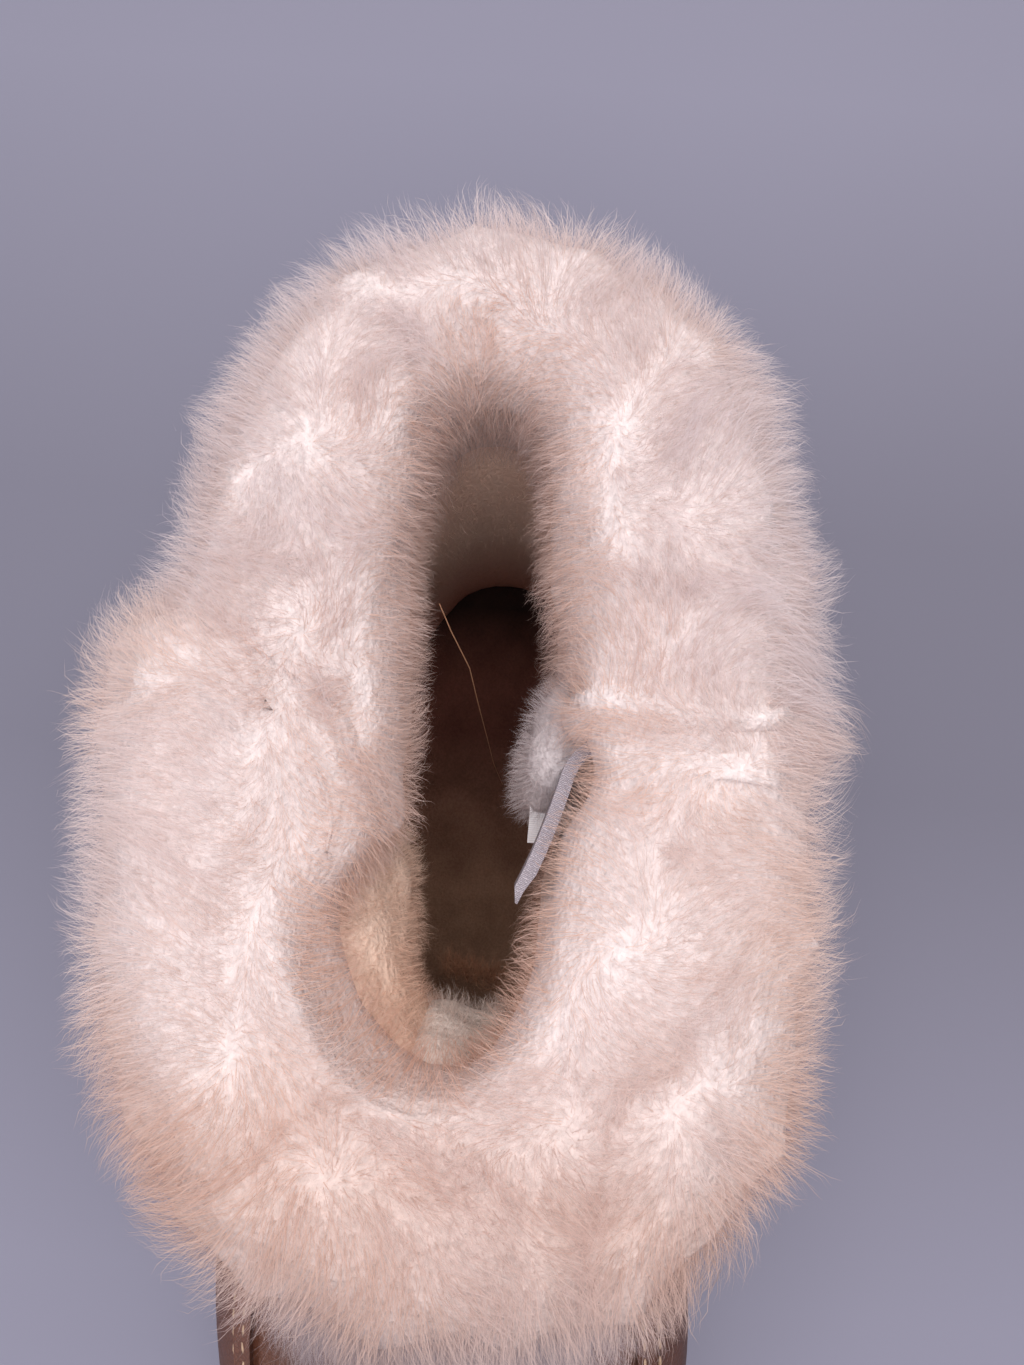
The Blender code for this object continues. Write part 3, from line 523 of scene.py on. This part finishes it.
def undercoat(name, other, depth, lumps, puffs):
    """The cuff's matted body below its loose fibres, the slot for the leather closed.

    Where it faces the other half it swells until the two press together.
    """
    bm = swollen(merged(name), CLOSING)
    add_lobes(bm, puffs)
    bm = smoothed(remeshed(bm, 2.2 * MM), 8)
    body = BVHTree.FromBMesh(bm)
    moves = []
    for vert in bm.verts:
        thick = body.ray_cast(vert.co - vert.normal * 0.0002, -vert.normal)[3]
        facing = other.ray_cast(vert.co, vert.normal, REACH)[3]
        move = depth + CLOSING if thick is None else min(depth + CLOSING, 0.40 * thick)
        moves.append(move if facing is None else 0.8 * MM - facing / 2)
    places = np.array([v.co for v in bm.verts])
    swell = waves(places, 21 * MM, 3)[:, 0] + 0.5 * waves(places, 10 * MM, 4)[:, 0]
    for vert, move, rise in zip(bm.verts, eased(bm, moves, 5), swell):
        vert.co -= vert.normal * float(move - lumps * rise)
    return smoothed(bm, 4)


def add_lobes(bm, places):
    """Rounded bodies of (centre, radii) in millimetres."""
    for centre, radii in places:
        ball = Matrix.Translation(Vector(centre) * MM) @ Matrix.Diagonal((*(r * MM for r in radii), 1.0))
        bmesh.ops.create_icosphere(bm, subdivisions=3, radius=1.0, matrix=ball)


def soft_lobes(places):
    """Lobes run together into one soft body."""
    bm = bmesh.new()
    add_lobes(bm, places)
    bm = smoothed(remeshed(bm, 1.8 * MM), 5)
    places = np.array([v.co for v in bm.verts])
    for vert, puff in zip(bm.verts, waves(places, 11 * MM, 8)[:, 0]):
        vert.co += vert.normal * float(puff) * 0.7 * MM
    return smoothed(bm, 1)


class Ground:
    """The surface that wool grows on, as arrays, with what tells where it is covered."""

    def __init__(self, bm, covers=()):
        bmesh.ops.triangulate(bm, faces=bm.faces)
        bm.normal_update()
        self.points = np.array([v.co for v in bm.verts])
        self.normals = np.array([v.normal for v in bm.verts])
        self.faces = np.array([[v.index for v in f.verts] for f in bm.faces])
        self.covers = covers

    def scatter(self, count, rng, weight):
        corners = self.points[self.faces]
        area = np.linalg.norm(np.cross(corners[:, 1] - corners[:, 0], corners[:, 2] - corners[:, 0]), axis=1)
        centres = corners.mean(axis=1)
        normals = unit(self.normals[self.faces].mean(axis=1))
        chance = area * weight(centres, normals) * self.open_share(centres, normals)
        faces = rng.choice(len(self.faces), count, p=chance / chance.sum())
        u, v = rng.random((2, count, 1))
        flip = u + v > 1
        u, v = np.where(flip, 1 - u, u), np.where(flip, 1 - v, v)
        a, b, c = (self.points[self.faces[faces, k]] for k in range(3))
        na, nb, nc = (self.normals[self.faces[faces, k]] for k in range(3))
        return a + (b - a) * u + (c - a) * v, unit(na + (nb - na) * u + (nc - na) * v)

    def open_share(self, centres, normals):
        """0 where another piece lies close over the surface, else 1."""
        share = np.ones(len(centres))
        for i, (centre, normal) in enumerate(zip(centres, normals)):
            start = Vector(centre) + Vector(normal) * 0.0004
            if any(cover.ray_cast(start, Vector(normal), 5 * MM)[0] is not None for cover in self.covers):
                share[i] = 0.0
        return share


def clumped(roots, vectors, rng, per_lock, pull):
    """Draws each fibre's end towards that of its lock's leader."""
    leaders = rng.choice(len(roots), max(len(roots) // per_lock, 1), replace=False)
    tree = KDTree(len(leaders))
    for i, leader in enumerate(leaders):
        tree.insert(roots[leader], i)
    tree.balance()
    nearest = leaders[[tree.find(root)[1] for root in roots]]
    shift = (roots[nearest] + vectors[nearest]) - (roots + vectors)
    reach = np.linalg.norm(shift, axis=1, keepdims=True)
    limit = 0.6 * np.linalg.norm(vectors, axis=1, keepdims=True)
    return shift * np.minimum(1.0, limit / np.maximum(reach, 1e-9)) * pull


def ribbons(roots, normals, starts, ends, lengths, pulls, width, rng, curl, shares, inside=0.0):
    """Tapering ribbons as (points, corners, face starts, UVs), from unit start and end directions.

    The map's x is each fibre's random tone, in its upper half outside the collar and its lower half inside, where its
    material paints warm shade.
    """
    count, steps = len(roots), len(shares) - 1
    side = unit(np.cross(starts, normals) + rng.normal(0, 0.35, (count, 3)))
    phase = rng.uniform(0, 2 * math.pi, (count, 1))
    widths = width * rng.uniform(0.6, 1.35, (count, 1))
    points = np.zeros((count, 2 * steps + 1, 3), np.float32)
    for i, share in enumerate(shares):
        bend = share * share
        line = roots + (starts * (share - 0.5 * bend) + ends * (0.5 * bend)) * lengths[:, None]
        wave = np.sin(phase + share * 5.0) - np.sin(phase)
        line = line + side * wave * curl * lengths[:, None] * share + pulls * bend
        if i == steps:
            points[:, 2 * i] = line
            continue
        half = side * widths * (0.95 - 0.45 * share) / 2
        points[:, 2 * i] = line - half
        points[:, 2 * i + 1] = line + half
    corners, alongs, faces = [], [], []
    for i in range(steps):
        a = 2 * i
        last = i == steps - 1
        faces.append(len(corners))
        corners += (a, a + 1, a + 2) if last else (a, a + 1, a + 3, a + 2)
        alongs += (shares[i], shares[i], shares[i + 1]) if last else (shares[i],) * 2 + (shares[i + 1],) * 2
    each = np.arange(count)[:, None]
    loops = each * (2 * steps + 1) + np.array(corners)
    firsts = each * len(corners) + np.array(faces)
    variety_and_warm_shade = 0.5 * rng.random(count) + 0.5 * (1 - inside)
    uvs = np.stack([np.repeat(variety_and_warm_shade, len(corners)), np.tile(alongs, count)], axis=1)
    return points.reshape(-1, 3), loops.ravel(), firsts.ravel(), uvs


def fibre_mesh(name, sets):
    """One mesh of several sets of ribbons, with the UV map that their material reads."""
    points, loops, firsts, uvs = (list(part) for part in zip(*sets))
    for i in range(1, len(sets)):
        loops[i] = loops[i] + sum(len(part) for part in points[:i])
        firsts[i] = firsts[i] + sum(len(part) for part in uvs[:i])
    points, loops, firsts, uvs = (np.concatenate(part) for part in (points, loops, firsts, uvs))
    mesh = bpy.data.meshes.new(name)
    mesh.vertices.add(len(points))
    mesh.vertices.foreach_set("co", points.ravel().astype(np.float32))
    mesh.loops.add(len(loops))
    mesh.loops.foreach_set("vertex_index", loops.astype(np.int32))
    mesh.polygons.add(len(firsts))
    mesh.polygons.foreach_set("loop_start", firsts.astype(np.int32))
    layer = mesh.uv_layers.new(name="fibre")
    layer.data.foreach_set("uv", uvs.astype(np.float32).ravel())
    mesh.update(calc_edges=True)
    mesh.shade_smooth()
    return mesh


def inside_share(points, normals):
    """1 on wool that faces the opening, 0 on the outer side, eased between."""
    facing = -(from_spine(points) * normals).sum(axis=1)
    return np.clip((facing - 0.15) / 0.5, 0.0, 1.0)


def flap_share(points):
    """1 on the flap that hangs over the instep, eased in below the roll."""
    past = points[:, 0] - 0.098 + 0.45 * (0.120 - points[:, 2])
    return np.clip(past / 0.010, 0.0, 1.0) * (points[:, 2] < FLAP_TOP)


def lie_of_wool(points, normals, rng, loose):
    """Unit directions of the fibres at their roots and at their ends."""
    away = from_spine(points)
    down = -UP + 0.55 * away
    inside = inside_share(points, normals)[:, None]
    flow = down * (1 - inside) + (-UP * 0.8 + away * 0.1) * inside
    flow = unit(flow) + 0.60 * waves(points, 34 * MM, 5) + 0.50 * waves(points, 13 * MM, 6)
    flap = flap_share(points)[:, None]
    flow = flow * (1 - flap) + (np.array((0.55, 0.25, -0.75)) + 0.25 * waves(points, 14 * MM, 6)) * flap
    flow -= normals * (flow * normals).sum(axis=1, keepdims=True)
    flow = unit(flow)
    scatter = rng.normal(0, loose, points.shape)
    starts = unit(normals * 0.90 + flow * 0.55 + scatter)
    ends = unit(normals * 0.16 + flow * 1.0 + scatter * 1.3 - UP * 0.06)
    return starts, ends


def wool_half(name, ground, count, material, seed):
    """Half of a cuff's wool: long fibres that draw together into soft locks, over shorter loose frizz."""
    wool = settings("boot_wool")
    rng = np.random.default_rng(seed)

    def weight(points, normals):
        return 1.0 - 0.35 * inside_share(points, normals) + 0.35 * np.maximum(normals[:, 2], 0)

    sets = []
    for share, length, loose, shares, pull in (
        (LONG_SHARE, 1.0, 0.15, (0.0, 0.38, 0.72, 1.0), 1.0),
        (1 - LONG_SHARE, 0.70, 0.34, (0.0, 0.5, 1.0), 0.5),
    ):
        number = int(count * share)
        roots, normals = ground.scatter(number, rng, weight)
        starts, ends = lie_of_wool(roots, normals, rng, loose)
        inside, flap = inside_share(roots, normals), flap_share(roots)
        lengths = wool.pile * (1 - inside) + wool.inner_pile * inside
        lengths = (lengths * (1 - flap) + wool.flap_pile * flap) * rng.uniform(0.65, 1.15, number) * length
        vectors = (starts + ends) * 0.5 * lengths[:, None]
        pulls = clumped(roots, vectors, rng, 30, 0.40 * pull) + clumped(roots, vectors, rng, 300, 0.30 * pull)
        sets.append(ribbons(roots, normals, starts, ends, lengths, pulls, wool.fibre, rng, 0.05, shares, inside))
    return finish_piece(name, fibre_mesh(name, sets), material)


# Operators


class BOOT_OT_sole(bpy.types.Operator):
    """Gives the rubber sole its finish"""

    bl_idname = "boot.sole"
    bl_label = "Sole"

    def execute(self, context):
        dress("outsole", rubber_material())
        return {"FINISHED"}


class BOOT_OT_upper(bpy.types.Operator):
    """Smooths the leather of the vamp and shaft and gives it its grain"""

    bl_idname = "boot.upper"
    bl_label = "Upper"

    def execute(self, context):
        leather = settings("boot_leather")
        smooth_leather("upper", "leather_upper", leather_material("brown_leather", leather.brown, leather.grain), 2)
        return {"FINISHED"}


def smooth_leather(node_name, name, material, levels):
    """A leather part's faces run together and rounded, its real edges kept."""
    bm = merged(node_name)
    flat = math.radians(30)
    bmesh.ops.join_triangles(bm, faces=bm.faces, angle_face_threshold=flat, angle_shape_threshold=math.pi)
    crease = bm.edges.layers.float.new("crease_edge")
    for edge in bm.edges:
        if len(edge.link_faces) == 2 and edge.calc_face_angle() > flat:
            edge[crease] = 1.0
    obj = piece(name, bm, material, 35)
    subdivision = obj.modifiers.new("smooth", "SUBSURF")
    subdivision.levels = subdivision.render_levels = levels
    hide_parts(node_name)
    return obj


class BOOT_OT_apron(bpy.types.Operator):
    """Gives the moccasin apron its grain"""

    bl_idname = "boot.apron"
    bl_label = "Apron"

    def execute(self, context):
        leather = settings("boot_leather")
        dress("apron", leather_material("apron_leather", shaded(leather.brown, 1.15), leather.grain))
        return {"FINISHED"}


def surface_below(trees, x, y):
    """The highest place and normal on the trees at a plan position, or None."""
    hits = [tree.ray_cast(Vector((x, y, OVERHEAD)), Vector((0, 0, -1))) for tree in trees]
    hits = [hit for hit in hits if hit[0] is not None]
    return max(hits, key=lambda hit: hit[0].z) if hits else None


def last_inside(origin, heading, inside, reach):
    """How far out along a plan direction the test still holds, to a quarter of a millimetre."""
    steps = int(reach / (0.25 * MM))
    kept = [i for i in range(steps) if inside(*(origin + heading * (i * 0.25 * MM)))]
    return kept[-1] * 0.25 * MM if kept else None


def resampled(line, spacing):
    """Evenly spaced (place, normal, direction) along a line of (place, normal)."""
    places = [place for place, _ in line]
    runs = [0.0]
    for a, b in zip(places, places[1:]):
        runs.append(runs[-1] + (b - a).length)
    even = []
    for i in range(int(runs[-1] / spacing)):
        at = (i + 0.5) * spacing
        k = max(j for j, run in enumerate(runs) if run <= at)
        share = (at - runs[k]) / max(runs[k + 1] - runs[k], 1e-9)
        place = places[k].lerp(places[k + 1], share)
        normal = line[k][1].lerp(line[k + 1][1], share).normalized()
        even.append((place, normal, (places[k + 1] - places[k]).normalized()))
    return even


def sewn(bm, line, spacing, length, width, sink=0.2, across=False):
    """Adds a row of rounded stitches, or of pleats that lie across the row."""
    for place, normal, along in resampled(line, spacing):
        along = (along - normal * along.dot(normal)).normalized()
        side = normal.cross(along)
        if across:
            along, side = side, along
        axes = Matrix((along * length / 2, side * width / 2, normal * width / 2)).transposed().to_4x4()
        bmesh.ops.create_icosphere(bm, subdivisions=1 if not across else 2, radius=1.0,
                                   matrix=Matrix.Translation(place - normal * width * sink) @ axes)


def apron_rows(trees, offsets):
    """Lines beside the apron's edge, each at its distance outside it, from the cuff round the toe and back."""
    centre = Vector((0.149, 0.0006))
    upper, apron = trees
    rows = [[] for _ in offsets]

    def on_apron(x, y):
        return surface_below([apron], x, y) is not None

    for degrees in range(-133, 134, 3):
        heading = Vector((math.cos(math.radians(degrees)), math.sin(math.radians(degrees))))
        edge = last_inside(centre, heading, on_apron, 0.07)
        for row, offset in zip(rows, offsets):
            x, y = centre + heading * (edge + offset)
            found = surface_below([upper] if offset > 0 else [apron], x, y)
            if found is not None:
                row.append((found[0], found[1]))
    return rows


def welt_row(tree, inset):
    """A line on the sole's ledge, all the way round."""
    row = []

    def on_sole(x, y):
        return surface_below([tree], x, y) is not None

    ball, heel = Vector((0.165, 0.010)), Vector((0.0, 0.0))
    turns = [(ball, degrees) for degrees in range(-90, 91, 5)]
    turns += [(ball.lerp(heel, i / 30), 90) for i in range(1, 30)]
    turns += [(heel, degrees) for degrees in range(90, 271, 6)]
    turns += [(heel.lerp(ball, i / 30), 270) for i in range(1, 31)]
    for origin, degrees in turns:
        heading = Vector((math.cos(math.radians(degrees)), math.sin(math.radians(degrees))))
        edge = last_inside(origin, heading, on_sole, 0.09)
        x, y = origin + heading * (edge - inset)
        found = surface_below([tree], x, y)
        row.append((found[0], found[1]))
    return row


def lap_rows(tree, offset):
    """Two lines beside the edge where the shaft laps over the vamp, one on each side of the boot."""
    rows = []
    for side in (-1, 1):
        row = []
        for height in range(27, 97, 3):
            x = (60 + 0.423 * (height - 20) - offset) * MM
            hit = tree.ray_cast(Vector((x, side * 0.09, height * MM)), Vector((0, -side, 0)))
            if hit[0] is not None:
                row.append((hit[0], hit[1]))
        rows.append(row)
    return rows


class BOOT_OT_seams(bpy.types.Operator):
    """Sews the apron, the lap and the sole's ledge, and puckers the leather round the toe"""

    bl_idname = "boot.seams"
    bl_label = "Seams"

    def execute(self, context):
        leather = settings("boot_leather")
        upper, apron, sole = tree_of("upper"), tree_of("apron"), tree_of("outsole")
        stitches = bmesh.new()
        outer, inner, pleats = apron_rows((upper, apron), (2.0 * MM, -2.4 * MM, 4.2 * MM))
        for row in (outer, inner, *lap_rows(upper, 2.4), *lap_rows(upper, 5.2)):
            sewn(stitches, row, *STITCH)
        piece("leather_stitches", stitches, thread_material("tan_thread", (0.50, 0.33, 0.22)))
        welt = bmesh.new()
        sewn(welt, welt_row(sole, 2.0 * MM), *LEDGE_STITCH)
        piece("ledge_stitches", welt, thread_material("brown_thread", (0.26, 0.17, 0.11)))
        gathers = bmesh.new()
        toe = pleats[len(pleats) // 5 : -len(pleats) // 5]
        sewn(gathers, toe, *PLEAT, 0.36, across=True)
        piece("toe_pleats", gathers, leather_material("pleat_leather", leather.brown, leather.grain))
        return {"FINISHED"}


class BOOT_OT_insole(bpy.types.Operator):
    """Gives the insole its stained felt, with painted shade at the heel"""

    bl_idname = "boot.insole"
    bl_label = "Insole"

    def execute(self, context):
        # heel is the felt's colour darkened by painted shade, toe the lighter felt towards the toe
        heel, toe, spot = (0.20, 0.075, 0.055), (0.50, 0.30, 0.20), (0.018, 0.0025, 0.022)
        dress("insole", felt_material("grey_brown_felt", heel, toe, spot))
        return {"FINISHED"}


class BOOT_OT_lining(bpy.types.Operator):
    """Lines the shaft and foot with shorn sheepskin"""

    bl_idname = "boot.lining"
    bl_label = "Lining"

    def execute(self, context):
        leather = settings("boot_leather")
        bm = merged("upper")
        bm.normal_update()
        outer = []
        for face in bm.faces:
            centre = face.calc_center_median()
            middle = Vector((min(centre.x, 0.20), COLLAR_Y, min(max(centre.z, 0.035), 0.145)))
            if centre.x > 0.06:
                middle.z = 0.030
            if face.normal.dot(middle - centre) <= 0 or centre.z > LINING_TOP:
                outer.append(face)
        bmesh.ops.delete(bm, geom=outer, context="FACES")
        bm.normal_update()
        for vert in bm.verts:
            towards_heel = min(max((-0.015 - vert.co.x) / 0.02, 0.0), 1.0)
            low = max(1.0 - abs(vert.co.z - 0.030) / 0.045, 0.0)
            vert.co += vert.normal * (LINING_DEPTH + HEEL_DEPTH * towards_heel * low)
        high = smoothed(bm, 1).copy()
        bmesh.ops.delete(high, geom=[v for v in high.verts if v.co.z < 0.04 or v.co.x > 0.06], context="VERTS")
        ground = Ground(high)
        high.free()
        material = lining_material("shorn_lining", tuple(leather.lining))
        obj = piece("shorn_lining", bm, material)
        short_wool("shorn_lining_wool", ground, 15000, settings("boot_wool").inner_pile * FUZZ, material, 41)
        wall = obj.modifiers.new("wall", "SOLIDIFY")
        wall.thickness = 4.0 * MM
        wall.offset = -1.0
        subdivision = obj.modifiers.new("smooth", "SUBSURF")
        subdivision.levels = subdivision.render_levels = 1
        return {"FINISHED"}


def short_wool(name, ground, count, length, material, seed):
    """Short upright fuzz, leaning every way."""
    rng = np.random.default_rng(seed)
    roots, normals = ground.scatter(count, rng, lambda points, normals: 1.0)
    starts = unit(normals + rng.normal(0, 0.45, normals.shape))
    ends = unit(normals * 0.6 + 0.7 * waves(roots, 12 * MM, 9) + rng.normal(0, 0.5, normals.shape))
    lengths = length * rng.uniform(0.6, 1.2, count)
    pulls = clumped(roots, (starts + ends) * 0.5 * lengths[:, None], rng, 40, 0.35)
    made = ribbons(roots, normals, starts, ends, lengths, pulls, settings("boot_wool").fibre, rng, 0.12, (0, 0.5, 1))
    return finish_piece(name, fibre_mesh(name, [made]), material)


class BOOT_OT_lobes(bpy.types.Operator):
    """Puffs up the lining at the front and the outer side, and the tuft beside the pull loop"""

    bl_idname = "boot.lobes"
    bl_label = "Lining lobes"

    def execute(self, context):
        leather, wool = settings("boot_leather"), settings("boot_wool")
        tan, tip = tuple(leather.lobe), tuple(wool.tip)
        for name, places, colour, count, slot in (
            ("lining_lobes", LINING_LOBES, tan, 18000, "cuff_front"),
            # front_lobe: painted light, its tan paled towards white
            ("front_lobe", FRONT_LOBES, mixed(tan, WHITE, 0.75), 8000, "cuff_front"),
            # back_tuft: painted shade, the cuff's tip colour darkened beside the pull loop
            ("back_tuft", BACK_TUFT, shaded(tip, 0.84), 7000, "cuff_back"),
        ):
            bm = soft_lobes(places)
            ground = Ground(bm)
            # Painted shade: each lobe's undercoat and fibre roots are darker than its fibre tips
            piece(name, bm, skin_material(name + "_skin", shaded(colour, 0.92)))
            short_wool(name + "_wool", ground, count, wool.inner_pile * FUZZ,
                       wool_material(name + "_wool", shaded(colour, 0.85), colour), 31)
        return {"FINISHED"}


class BOOT_OT_back_wool(bpy.types.Operator):
    """Grows the wool of the cuff's back half"""

    bl_idname = "boot.back_wool"
    bl_label = "Back wool"

    def execute(self, context):
        wool = settings("boot_wool")
        root, tip = tuple(wool.root), tuple(wool.tip)
        covers = [tree_of("upper")]
        bm = undercoat("cuff_back", tree_of("cuff_front"), wool.undercoat, wool.lumps, BACK_PUFFS)
        ground = Ground(bm, covers)
        skin = piece("back_skin", bm, skin_material("back_skin", mixed(tip, root, 0.45)))
        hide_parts("cuff_back")
        material = wool_material("back_wool", root, tip, 0.25)
        half = wool.back_count // 2
        wool_half("back_wool_a", ground, half, material, 11)
        wool_half("back_wool_b", ground, half, material, 12)
        return {"FINISHED"}


class BOOT_OT_front_wool(bpy.types.Operator):
    """Grows the wool of the cuff's front half and of its flap"""

    bl_idname = "boot.front_wool"
    bl_label = "Front wool"

    def execute(self, context):
        wool = settings("boot_wool")
        root, tip = tuple(wool.root), tuple(wool.tip)
        covers = [tree_of("upper"), tree_of("apron")]
        bm = undercoat("cuff_front", tree_of("cuff_back"), wool.undercoat, wool.lumps, FRONT_PUFFS)
        ground = Ground(bm, covers)
        skin = piece("front_skin", bm, skin_material("front_skin", mixed(tip, root, 0.45)))
        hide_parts("cuff_front")
        material = wool_material("front_wool", root, tinted(tip, (1.05, 1.02, 0.985)), 0.8)
        half = wool.front_count // 2
        wool_half("front_wool_a", ground, half, material, 21)
        wool_half("front_wool_b", ground, half, material, 22)
        return {"FINISHED"}


class BOOT_OT_loop(bpy.types.Operator):
    """Gives the pull loop its weave"""

    bl_idname = "boot.loop"
    bl_label = "Pull loop"

    def execute(self, context):
        bm = merged("pull_loop")
        end = max(v.co.x for v in bm.verts)
        tip = [v for v in bm.verts if v.co.x > end - 2.5 * MM]
        middle = sum((v.co for v in tip), Vector()) / len(tip)
        side = Vector((0.386, 0.922, 0.0))  # across the webbing's last stretch
        for vert in tip:
            vert.co -= side * side.dot(vert.co - middle) * 0.8
        layer = bm.loops.layers.uv.new("cloth")
        for face in bm.faces:
            for corner in face.loops:
                corner[layer].uv = (corner.vert.co.x * 1000, corner.vert.co.z * 1000 + corner.vert.co.y * 500)
        obj = piece("woven_loop", bm, webbing_material(), 40)
        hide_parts("pull_loop")
        return {"FINISHED"}


class BOOT_OT_label(bpy.types.Operator):
    """Gives the blank label its cloth"""

    bl_idname = "boot.label"
    bl_label = "Blank label"

    def execute(self, context):
        bm = merged("blank_label")
        sewn_end = min((v.co for v in bm.verts), key=lambda co: co.x).copy()
        bmesh.ops.rotate(bm, verts=bm.verts, cent=sewn_end, matrix=Matrix.Rotation(math.radians(18), 3, "Z"))
        label = piece("soft_label", bm, label_material(), 30)
        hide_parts("blank_label")
        return {"FINISHED"}


class BOOT_OT_dirt(bpy.types.Operator):
    """Lays one loose hair across the opening and a fringe of raw wool at the lining's front edge"""

    bl_idname = "boot.dirt"
    bl_label = "Loose fibres"

    def execute(self, context):
        rng = np.random.default_rng(77)
        line = [Vector(place) * MM for place in HAIR]
        bm = bmesh.new()
        rings = []
        for i, place in enumerate(line):
            along = (line[min(i + 1, len(line) - 1)] - line[max(i - 1, 0)]).normalized()
            side = along.orthogonal().normalized()
            around = [Matrix.Rotation(math.radians(120 * k), 3, along) @ side for k in range(3)]
            rings.append([bm.verts.new(place + way * 0.10 * MM) for way in around])
        for one, two in zip(rings, rings[1:]):
            for k in range(3):
                bm.faces.new((one[k], one[k - 1], two[k - 1], two[k]))
        piece("loose_hair", bm, thread_material("straw_hair", (0.62, 0.34, 0.20)))

        count = 900
        share = rng.random((count, 1))
        edge = [np.array(end) * MM for end in FRINGE]
        roots = edge[0] * (1 - share) + edge[1] * share + rng.normal(0, 1.0 * MM, (count, 3))
        normals = np.tile(UP, (count, 1))
        starts = unit(np.array((-0.5, 0.0, 0.8)) + rng.normal(0, 0.45, (count, 3)))
        ends = unit(np.array((-0.9, 0.0, 0.1)) + rng.normal(0, 0.6, (count, 3)))
        lengths = rng.uniform(2.0, 5.0, count) * MM
        fringe = ribbons(roots, normals, starts, ends, lengths, 0 * roots, 0.12 * MM, rng, 0.15, (0, 0.5, 1))
        brown = wool_material("raw_wool", (0.34, 0.18, 0.11), (0.55, 0.33, 0.22))
        finish_piece("raw_fringe", fibre_mesh("raw_fringe", [fringe]), brown)
        return {"FINISHED"}


class BOOT_OT_stage(bpy.types.Operator):
    """Sets the floor, the lights and the camera"""

    bl_idname = "boot.stage"
    bl_label = "Stage"

    def execute(self, context):
        stage = settings("boot_stage")
        bm = bmesh.new()
        bmesh.ops.create_grid(bm, x_segments=1, y_segments=1, size=3.0)
        mesh = bpy.data.meshes.new("floor")
        bm.to_mesh(mesh)
        bm.free()
        floor = bpy.data.objects.new("floor", mesh)
        context.scene.collection.objects.link(floor)
        material, shader = new_material("pale_floor", tuple(stage.floor), 0.9)
        # Painted light: the floor brightens towards both ends of the boot
        along = ranged(material, coordinate(material, object_place(material), "X"), *FLOOR_ENDS)
        stops = [(at, shaded(stage.floor, tone)) for at, tone in FLOOR_PAINTED_LIGHT]
        coloured(material, shader, ramp(material, along, stops))
        mesh.materials.append(material)

        world = bpy.data.worlds.new("studio")
        world.use_nodes = True
        background = world.node_tree.nodes["Background"]
        background.inputs["Color"].default_value = (0.86, 0.88, 1.0, 1.0)
        background.inputs["Strength"].default_value = 0.40
        context.scene.world = world
        self.light(context, "overhead", (-0.25, 0.10, 1.0), 0.9, 11.0, (1.0, 0.96, 0.93))
        self.light(context, "side", (0.5, -0.8, 0.7), 0.7, 3.6, (0.93, 0.95, 1.0))
        self.light(context, "front", (0.45, 0.02, 0.80), 0.35, 1.5, (1.0, 0.95, 0.92))

        data = bpy.data.cameras.new("camera")
        data.lens = stage.lens
        data.sensor_width = 36.0
        data.clip_start = 0.005
        camera = bpy.data.objects.new("camera", data)
        context.scene.collection.objects.link(camera)
        heading = Vector((math.cos(stage.turn), math.sin(stage.turn), 0.0))
        across = Vector((-heading.y, heading.x, 0.0))
        back = heading * math.sin(stage.tilt) + Vector((0, 0, math.cos(stage.tilt)))
        up = back.cross(across)
        camera.matrix_world = Matrix(
            (
                (across.x, up.x, back.x, stage.camera_x),
                (across.y, up.y, back.y, stage.camera_y),
                (across.z, up.z, back.z, stage.camera_height),
                (0.0, 0.0, 0.0, 1.0),
            )
        )
        context.scene.camera = camera
        context.scene.view_settings.view_transform = "Standard"
        return {"FINISHED"}

    def light(self, context, name, place, size, power, colour):
        data = bpy.data.lights.new(name, "AREA")
        data.size = size
        data.energy = power
        data.color = colour
        lamp = bpy.data.objects.new(name, data)
        lamp.location = place
        lamp.rotation_euler = (Vector(place) - LIGHTS_AIM).to_track_quat("Z", "Y").to_euler()
        context.scene.collection.objects.link(lamp)


class BOOT_PT_panel(bpy.types.Panel):
    """Lists the boot's pieces"""

    bl_label = "Mukluk boot"
    bl_idname = "BOOT_PT_panel"
    bl_space_type = "VIEW_3D"
    bl_region_type = "UI"
    bl_category = "Boot"

    def draw(self, context):
        column = self.layout.column()
        for operator in OPERATORS:
            column.operator(operator.bl_idname)
        for group in GROUPS:
            box = self.layout.box()
            for key in group.__annotations__:
                box.prop(getattr(context.scene, GROUPS[group]), key)


GROUPS = {BootWool: "boot_wool", BootLeather: "boot_leather", BootStage: "boot_stage"}
OPERATORS = (
    BOOT_OT_sole,
    BOOT_OT_upper,
    BOOT_OT_apron,
    BOOT_OT_seams,
    BOOT_OT_insole,
    BOOT_OT_lining,
    BOOT_OT_lobes,
    BOOT_OT_back_wool,
    BOOT_OT_front_wool,
    BOOT_OT_loop,
    BOOT_OT_label,
    BOOT_OT_dirt,
    BOOT_OT_stage,
)


def register():
    for group, name in GROUPS.items():
        bpy.utils.register_class(group)
        setattr(bpy.types.Scene, name, PointerProperty(type=group))
    for operator in OPERATORS:
        bpy.utils.register_class(operator)
    bpy.utils.register_class(BOOT_PT_panel)


def unregister():
    bpy.utils.unregister_class(BOOT_PT_panel)
    for operator in reversed(OPERATORS):
        bpy.utils.unregister_class(operator)
    for group, name in GROUPS.items():
        delattr(bpy.types.Scene, name)
        bpy.utils.unregister_class(group)


def main():
    register()
    bpy.ops.boot.sole()
    bpy.ops.boot.upper()
    bpy.ops.boot.apron()
    bpy.ops.boot.seams()
    bpy.ops.boot.insole()
    bpy.ops.boot.lining()
    bpy.ops.boot.lobes()
    bpy.ops.boot.back_wool()
    bpy.ops.boot.front_wool()
    bpy.ops.boot.loop()
    bpy.ops.boot.label()
    bpy.ops.boot.dirt()
    bpy.ops.boot.stage()


if __name__ == "__main__":
    main()
